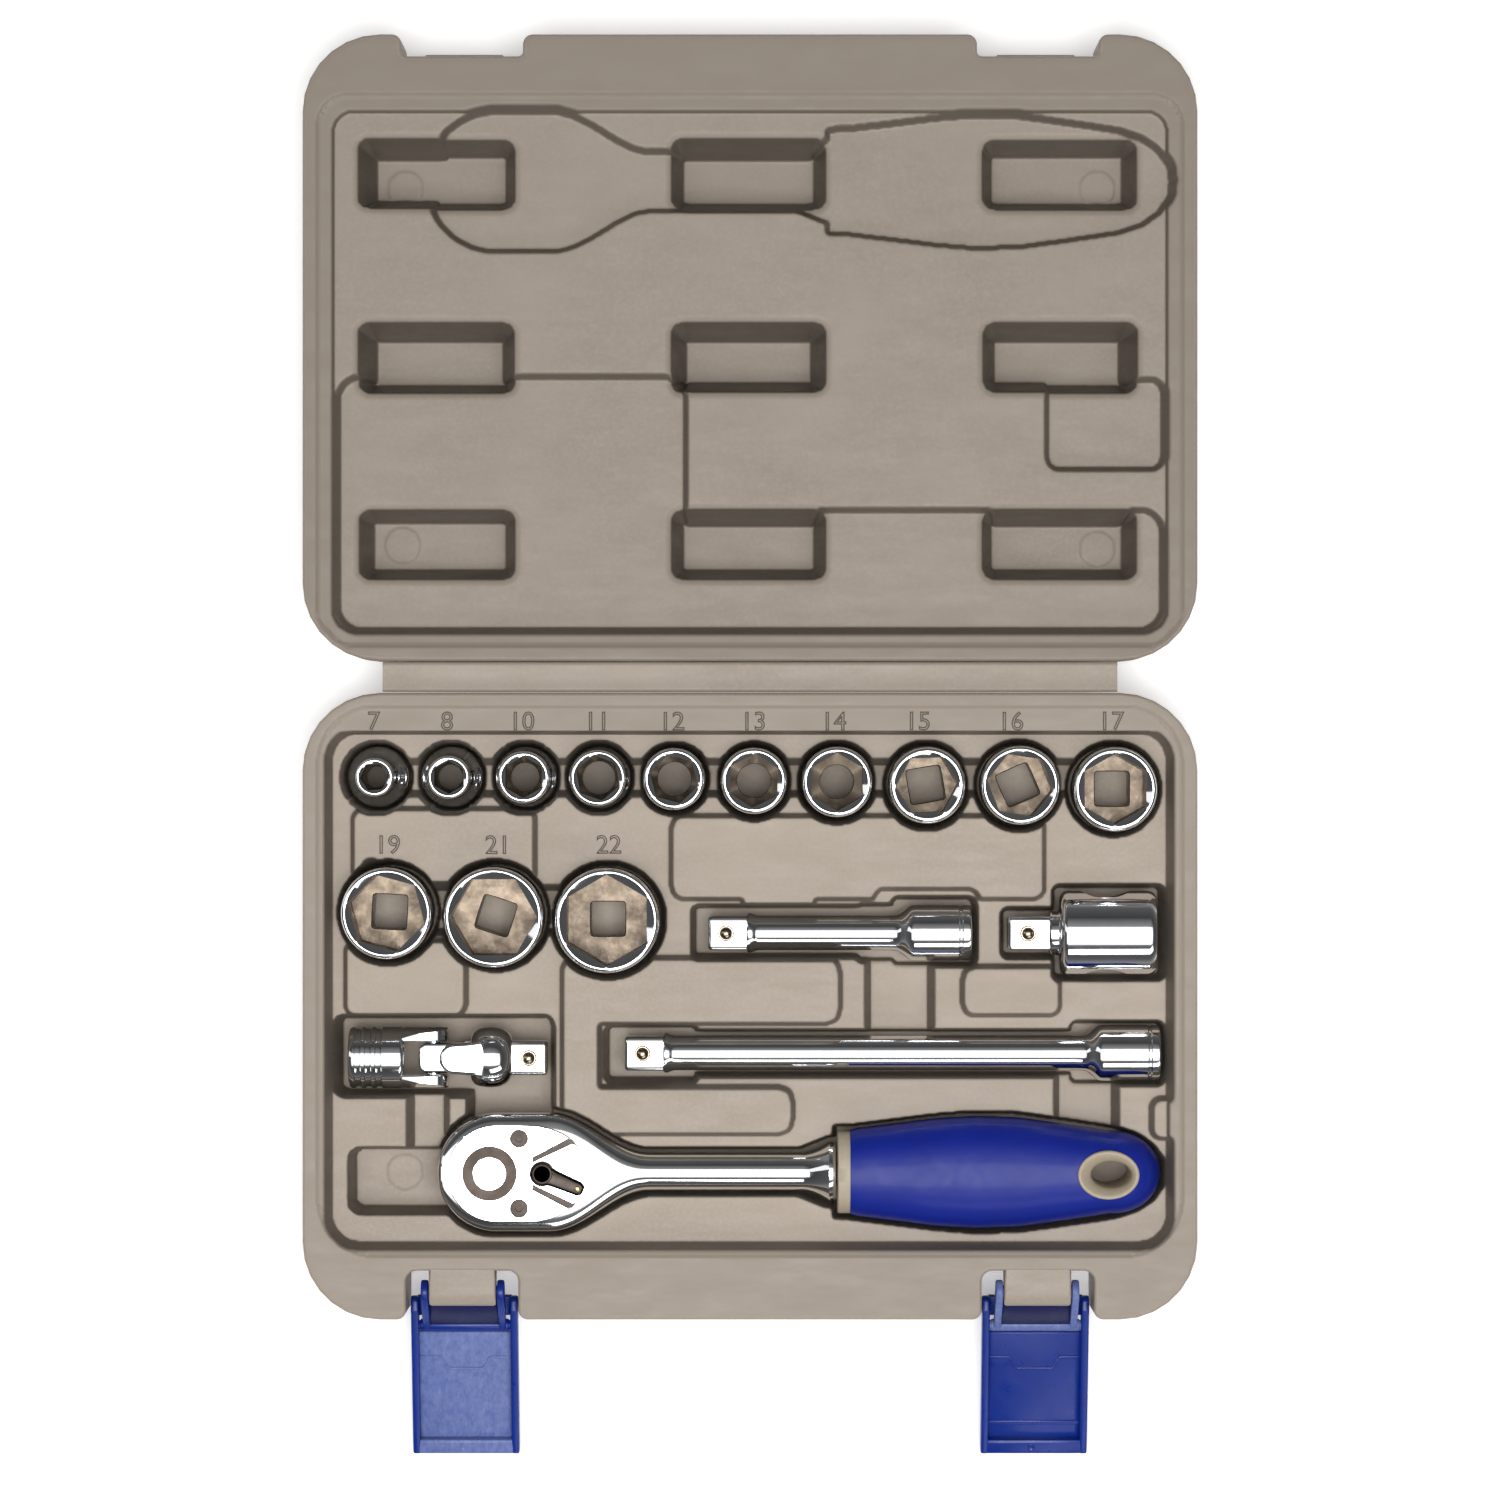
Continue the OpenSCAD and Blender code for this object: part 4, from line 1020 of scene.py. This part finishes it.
def ratchet_body():
    """Forged head and shaft with the gear bore, the screw seats, and the raised facet behind the lever."""
    n = 96
    t = angles(n)
    xs = [HEAD_X - HEAD_R * math.cos(a) for a in np.linspace(0.02, math.pi / 2, 22)]
    xs += list(np.linspace(-69, -57, 7)) + list(np.linspace(-55.5, -28, 24)) + [-22, -10, 4, 14.8]
    xs += list(np.linspace(15.6, 22, 8)) + [22.9, 23.5, 23.8]
    rings = []
    for x in xs:
        w = head_half_width(x)
        k = (x + 50) / 20
        power = mixed(5.0, 2.0, k)
        h = mixed(6.25, 5.3, k) if x < 14.8 else w
        if x > 22.5:
            w -= 0.25 * (x - 22.5) ** 2
            h = w
        c, s = np.cos(t), np.sin(t)
        e = 2 / power
        yy = np.sign(c) * np.abs(c) ** (2 / mixed(2.6, 2.0, k)) * w
        zz = np.sign(s) * np.abs(s) ** e * h
        fade = mixed(0.55, 1.0, w / 7) if x < HEAD_X else 1.0
        rings.append(np.c_[np.full(n, x), RY + yy, RZ + zz * fade])
    ob = loft("ratchet_handle_body", rings, chrome, 40)
    carve(ob, plug(GEAR_X, RY, GEAR_HOLE_R, 11, 28, 72))
    for side in (-1, 1):
        carve(ob, plug(SCREW_X, RY + side * SCREW_Y, 2.1, 24.7, 28, 72))
    left = np.radians(np.arange(115, 246, 10))
    facet = [(LEVER_X + 4.5 * math.cos(t), 4.5 * math.sin(t)) for t in left]
    facet += [(-49.6, -8.8), (-48.6, -8.5), (-36.4, -0.7), (-36.4, 0.7), (-48.6, 8.5), (-49.6, 8.8)]
    facet = np.array(facet) + np.array([0, RY])
    plate = stack("facet", facet, [(0.3, 22.0), (0.3, 25.4), (0.4, 25.6), (0.6, 25.68)], chrome_face, 15)
    # dark bed that shows as a V line between the facet and the cover: painted shade in the groove
    lower = [(-60.5, -5.6), (-49.9, -9.7), (-49.2, -9.1), (-48.5, -8.1), (-40, -2)]
    under = np.array(lower + [(x, -y) for x, y in lower[::-1]]) + np.array([0, RY])
    groove_shade = stack("groove_shade", under, [(0, 22.0), (0, 25.57)], black_steel, 15)
    place(join("ratchet_handle_body", ob, plate, groove_shade), "ratchet", "chrome", "ratchet_body")


ratchet_body()


def cover():
    """Bright plate over the gear, with a V cut round the lever, a round window and two countersinks."""
    pts = [(HEAD_X + 13.6 * math.cos(t), 13.6 * math.sin(t)) for t in np.radians(np.arange(90, 271, 5))]
    pts += [(-64, -13.6), (-59, -13.4), (-55.5, -12.6), (-52.5, -11.4), (-49.9, -9.8)]
    pts += [(LEVER_X + 5 * math.cos(t), 5 * math.sin(t)) for t in np.radians(np.arange(242, 117, -6))]
    pts += [(-49.9, 9.8), (-52.5, 11.4), (-55.5, 12.6), (-59, 13.4), (-64, 13.6)]
    plan = np.array(pts) + np.array([0, RY])
    ob = stack("cover_plate", plan, [(0, 24.4), (0, 25.6), (0.15, 25.78), (0.35, 25.85)], chrome_face, 15)
    for x, y, r in ((GEAR_X, 0, GEAR_HOLE_R), (SCREW_X, SCREW_Y, 2.62), (SCREW_X, -SCREW_Y, 2.62)):
        carve(ob, plug(x, RY + y, r, 23, 27, 64), smooth=15)
    place(ob, "ratchet", "chrome", "ratchet_cover")


cover()


def lever():
    """Reversing lever: hub, tapered arm, bronzed cap and a brass dot near its tip."""
    a = math.radians(-22.6)
    arm = [(0, -3.1), (3.5, -2.3), (11, -1.95), (12.4, -1.2), (12.4, 1.2), (11, 1.95), (3.5, 2.3), (0, 3.1)]
    arm = round_poly(arm + [(-3.1, 1.9), (-3.1, -1.9)], [1, 3, 1, 1, 1, 1, 3, 1, 1.4, 1.4], 5)
    turn = np.array([[math.cos(a), -math.sin(a)], [math.sin(a), math.cos(a)]])
    arm = arm @ turn.T + np.array([LEVER_X, RY])
    edge = [(0.3, 26.1), (0, 26.35), (0, 27.0), (0.25, 27.35), (0.75, 27.5)]
    parts = [stack("arm", arm, edge, black_steel, 40)]
    hub = [(0, 16.2), (0, 27.2), (0.5, 27.3), (0.62, 27.45), (0.8, 27.68), (1.2, 27.75)]
    parts.append(stack("hub", ellipse(LEVER_X, RY, 3.5, 3.5, 48), hub, black_steel, 40))
    cap = ellipse(LEVER_X, RY, 2.65, 2.65, 48)
    parts.append(stack("cap", cap, [(0, 27.0), (0, 27.7), (0.2, 27.75)], bronze, 40))
    tip = turn @ np.array([10.6, 0]) + np.array([LEVER_X, RY])
    dot = ellipse(tip[0], tip[1], 0.75, 0.75, 48)
    parts.append(stack("dot", dot, [(0, 27.2), (0, 27.5), (0.25, 27.62), (0.5, 27.66)], brass, 60))
    place(join("direction_lever", *parts), "lever", "black_steel", "ratchet_lever")


lever()

# half width of the grip in plan along X
GRIP = [(24, 12.1), (27.8, 12.2), (40, 13.7), (52, 15.2), (62.8, 15.8), (75, 15.4), (86, 13.9), (95, 12.6),
        (102, 11.4), (108, 9.4), (112, 6.6), (114.5, 0)]


def squared(t, power):
    """Cosine and sine pulled towards a square."""
    c, s = np.cos(t), np.sin(t)
    return np.sign(c) * np.abs(c) ** power, np.sign(s) * np.abs(s) ** power


def grip():
    """Blue sleeve with a hanging hole, and the beige core that shows at its collar and round the hole."""
    gx, gw = np.array(GRIP).T
    n = 88
    t = angles(n)
    xs = list(np.linspace(28.0, 100, 40))
    xs += [114.5 - 14.5 * (1 - math.sin(a)) for a in np.linspace(0.12, 1.54, 16)]
    xs = sorted(set([27.95] + xs))
    wide, high = squared(t, 0.86)[0], squared(t, 0.8)[1]
    rings = []
    for x in xs:
        w = float(np.interp(x, gx, gw)) - 0.25
        if x > 100:
            w = 11.55 * math.sqrt(max(0.0, 1 - ((x - 100) / 14.45) ** 2.3)) + 0.02
        h = min(12.5, 11.4 + 1.1 * min(1, (x - 27.9) / 18))
        if x > 100:
            h = 12.5 * max(0.02, 1 - ((x - 100) / 14.5) ** 3.2) ** 0.5
        soft = 0.25 if x < 28.2 else 0.0
        rings.append(np.c_[np.full(n, x), RY + wide * (w - soft), RZ + high * (h - soft)])
    sleeve = loft("grip_sleeve_skin", rings, grip_mat, 45)
    hole = ellipse(HANG_X, RY, 8.62, 6.82)
    carve(sleeve, stack("cut", hole, [(0, 2), (0, 36)], bronze))
    place(sleeve, "ratchet", "blue_rubber", "grip_sleeve")
    # beige core: collar, inner rod and the ring of the hanging hole
    parts = []
    rows = [(11.2, 24.4), (11.5, 24.7), (11.5, 27.9), (11.0, 28.0)]
    c, s = squared(angles(72), 0.86)
    collar = [np.c_[np.full(72, x), RY + c * r, RZ + s * (r - 0.9)] for r, x in rows]
    parts.append(loft("collar", collar, beige_mat, 45))
    out, inn = ellipse(HANG_X, RY, 8.55, 6.75), ellipse(HANG_X + 0.9, RY, 5.5, 3.6)
    z0, z1 = RZ - 12.45, RZ + 12.45
    loops = []
    for d, z in ((0.4, z0), (0, z0 + 0.4), (0, z1 - 0.3), (0.25, z1), (0.7, z1 + 0.05), (1.1, z1 - 0.15)):
        loops.append(np.c_[inset(out, d), np.full(len(out), z)])
    for k, z in ((0.75, z1 - 1.5), (1.0, z1 - 3.4), (1.0, z0 + 3.0), (0.8, z0 + 0.6)):
        mid = inset(out, 1.25) * (1 - k) + inn * k
        loops.append(np.c_[mid, np.full(len(out), z)])
    parts.append(loft("ring", loops, beige_mat, 45, close=True))
    place(join("grip_core_body", *parts), "ratchet", "beige_plastic", "grip_core")


grip()

# ---------------------------------------------------------------- latches
def slab(poly_yz, x0, x1, edge, mat):
    """Side profile in Y and Z, run along X with rounded edges."""
    rings = []
    for x, d in ((x0, edge), (x0 + edge * 0.3, edge * 0.3), (x0 + edge, 0), (x1 - edge, 0),
                 (x1 - edge * 0.3, edge * 0.3), (x1, edge)):
        q = inset(poly_yz, d)
        rings.append(np.c_[np.full(len(q), x), q])
    return loft("slab", rings, mat, 40)


def ridge(points, width, z0, z1, mat):
    """Raised line of even width along points in plan."""
    p = np.array(points, float)
    d = np.gradient(p, axis=0)
    d /= np.linalg.norm(d, axis=1)[:, None]
    side = np.c_[-d[:, 1], d[:, 0]] * width / 2
    poly = np.concatenate([p - side, (p + side)[::-1]])
    return stack("ridge", poly, [(0, z0), (0, z1 - 0.08), (width * 0.22, z1)], mat, 40)


def turned_into(ob, x, y, z, degrees):
    """Puts a piece built round its own pin line in place: turned about X, then moved."""
    a = math.radians(degrees)
    me = ob.data
    co = np.array([v.co for v in me.vertices]).reshape(-1, 3) / MM
    c, s = math.cos(a), math.sin(a)
    out = np.c_[co[:, 0] + x, co[:, 1] * c - co[:, 2] * s + y, co[:, 1] * s + co[:, 2] * c + z]
    me.vertices.foreach_set("co", (out * MM).astype(np.float32).ravel())
    me.update()
    return ob


LINK_DROOP, HANDLE_DROOP = 46.6, 15.0
BAR_Y = LUG_Y - 15 * math.cos(math.radians(LINK_DROOP))
BAR_Z = LUG_Z - 15 * math.sin(math.radians(LINK_DROOP))


def rod(x0, x1, r, mat, y=0.0, z=0.0):
    """Bar along X with rounded ends."""
    e = min(0.5, r * 0.4)
    rows = [(r - e, x0), (r - 0.3 * e, x0 + 0.3 * e), (r, x0 + e)]
    rows += [(r, x1 - e), (r - 0.3 * e, x1 - 0.3 * e), (r - e, x1)]
    return loft("rod", spin(rows, 40, (0, y, z), "x"), mat, 40)


def link(side, cx, mat):
    """Two arms on pins in the lug, joined by a bar with a plate between them."""
    parts = []
    a = np.radians(np.arange(-75, 76, 15))
    arm = [(3.4 * math.cos(t), 3.4 * math.sin(t)) for t in a]
    arm += [(-13.5, 1.9)] + [(-15 - 1.7 * math.cos(t), 1.7 * math.sin(t)) for t in a[::-1]]
    arm = np.array(arm + [(-13.5, -1.9)])
    for x0 in (9.6, -11.6):
        parts.append(slab(arm, x0, x0 + 2.0, 0.45, mat))
    parts.append(rod(6.3, 10.3, 1.8, mat))
    parts.append(rod(-10.3, -6.3, 1.8, mat))
    parts.append(rod(-12.5, 12.5, 1.75, mat, -15))
    parts.append(rod(-14.7, 14.7, 1.35, mat, -15))
    plate = round_poly([(-13.8, -0.95), (-4.8, -0.75), (-4.8, 0.45), (-13.8, 0.95)], 0.3, 3)
    # the plate between the arms takes the darker copy of the blue: painted shade
    parts.append(slab(plate, -9.9, 9.9, 0.2, latch_shaded_blue))
    ob = turned_into(join(f"latch_link_{side}_body", *parts), cx, LUG_Y, LUG_Z, LINK_DROOP)
    place(ob, f"{side}_link", "blue_plastic", f"latch_link_{side}")


def handle(side, cx, mat, edge_mat):
    """Pull-down plate with two cheeks, a hooked lip and fine moulded lines."""
    parts = []
    cheek = round_poly([(8.4, -2.8), (8.4, 1.2), (5.0, 2.2), (-31, 2.2), (-38.2, 1.9), (-38.2, -2.8)],
                       [2.0, 1.6, 2.0, 3.0, 0.8, 1.4], 6)
    for x0 in (12.8, -15.0):
        parts.append(slab(cheek, x0, x0 + 2.2, 0.5, edge_mat))
    back = round_poly([(2.4, -2.8), (8.2, -2.8), (8.2, -0.9), (2.4, -0.9)], 0.5, 4)
    parts.append(slab(back, -13.2, 13.2, 0.1, edge_mat))
    pan = round_poly([(-37.6, -2.8), (-2.4, -2.8), (-2.4, -0.8), (-37.6, -0.8)], 0.5, 4)
    parts.append(slab(pan, -13.2, 13.2, 0.1, mat))
    lip = [(-38.2, -2.8), (-33.9, -2.8), (-33.9, 1.7), (-34.8, 1.9), (-38.2, 1.9)]
    lip = round_poly(lip, [1.4, 0.3, 0.4, 0.4, 0.9], 4)
    parts.append(slab(lip, -13.2, 13.2, 0.1, mat))
    tab = [(-12.9, -9.9), (-7.4, -9.9), (-6.6, -10.4), (-5.4, -12.8), (-4.6, -13.3)]
    tab += [(-x, y) for x, y in tab[::-1]]
    parts.append(ridge(tab, 0.6, -1.0, -0.35, mat))
    if side == "right":
        parts.append(ridge([(-12.9, -29.6), (0, -29.6), (12.9, -29.6)], 1.1, -1.0, -0.4, mat))
    dot = ellipse(-0.8, -36.1, 1.0, 1.0, 32)
    parts.append(stack("mark", dot, [(0, 1.5), (0, 1.98), (0.25, 2.1), (0.5, 2.02), (0.7, 1.95)], mat, 40))
    ob = turned_into(join(f"latch_handle_{side}_body", *parts), cx, BAR_Y, BAR_Z, HANDLE_DROOP)
    place(ob, f"{side}_handle", "blue_plastic", f"latch_handle_{side}")


# the paler copy goes on the left handle plate and the right link: painted sheen
link("left", -LATCH_X, latch_blue)
link("right", LATCH_X, latch_sheen_blue)
handle("left", -LATCH_X, latch_sheen_blue, latch_blue)
handle("right", LATCH_X, latch_blue, latch_blue)

# ---------------------------------------------------------------- carried-over nodes
# material, and width of the rounded edges in mm
LOOK = {
    "joint_pins": (chrome, 0.15), "joint_ball": (ball_mat, 0), "extension_short_ball": (ball_mat, 0),
    "extension_long_ball": (ball_mat, 0), "adapter_ball": (ball_mat, 0),
    "ratchet_screws": (screw_mat, 0.1),
    "ratchet_pawl": (chrome, 0.2), "ratchet_drive": (bronze, 0.15), "ratchet_button": (chrome_face, 0.35),
    "ratchet_ball": (bronze, 0), "ratchet_spring": (black_steel, 0.1),
}


def dress(name, mat, width):
    """Gives a CAD node its material and rounds its edges by width."""
    ob = nodes[name]
    ob.data.materials.clear()
    ob.data.materials.append(mat)
    weld = ob.modifiers.new("weld", "WELD")
    weld.merge_threshold = 1e-6
    if width:
        bev = ob.modifiers.new("edges", "BEVEL")
        bev.width = width * MM
        bev.segments = 3
        bev.limit_method = "ANGLE"
        bev.angle_limit = math.radians(38)
        bev.use_clamp_overlap = True
        flat_faces(ob)
    ob.data.polygons.foreach_set("use_smooth", [True] * len(ob.data.polygons))


for key, (mat, width) in LOOK.items():
    dress(key, mat, width)
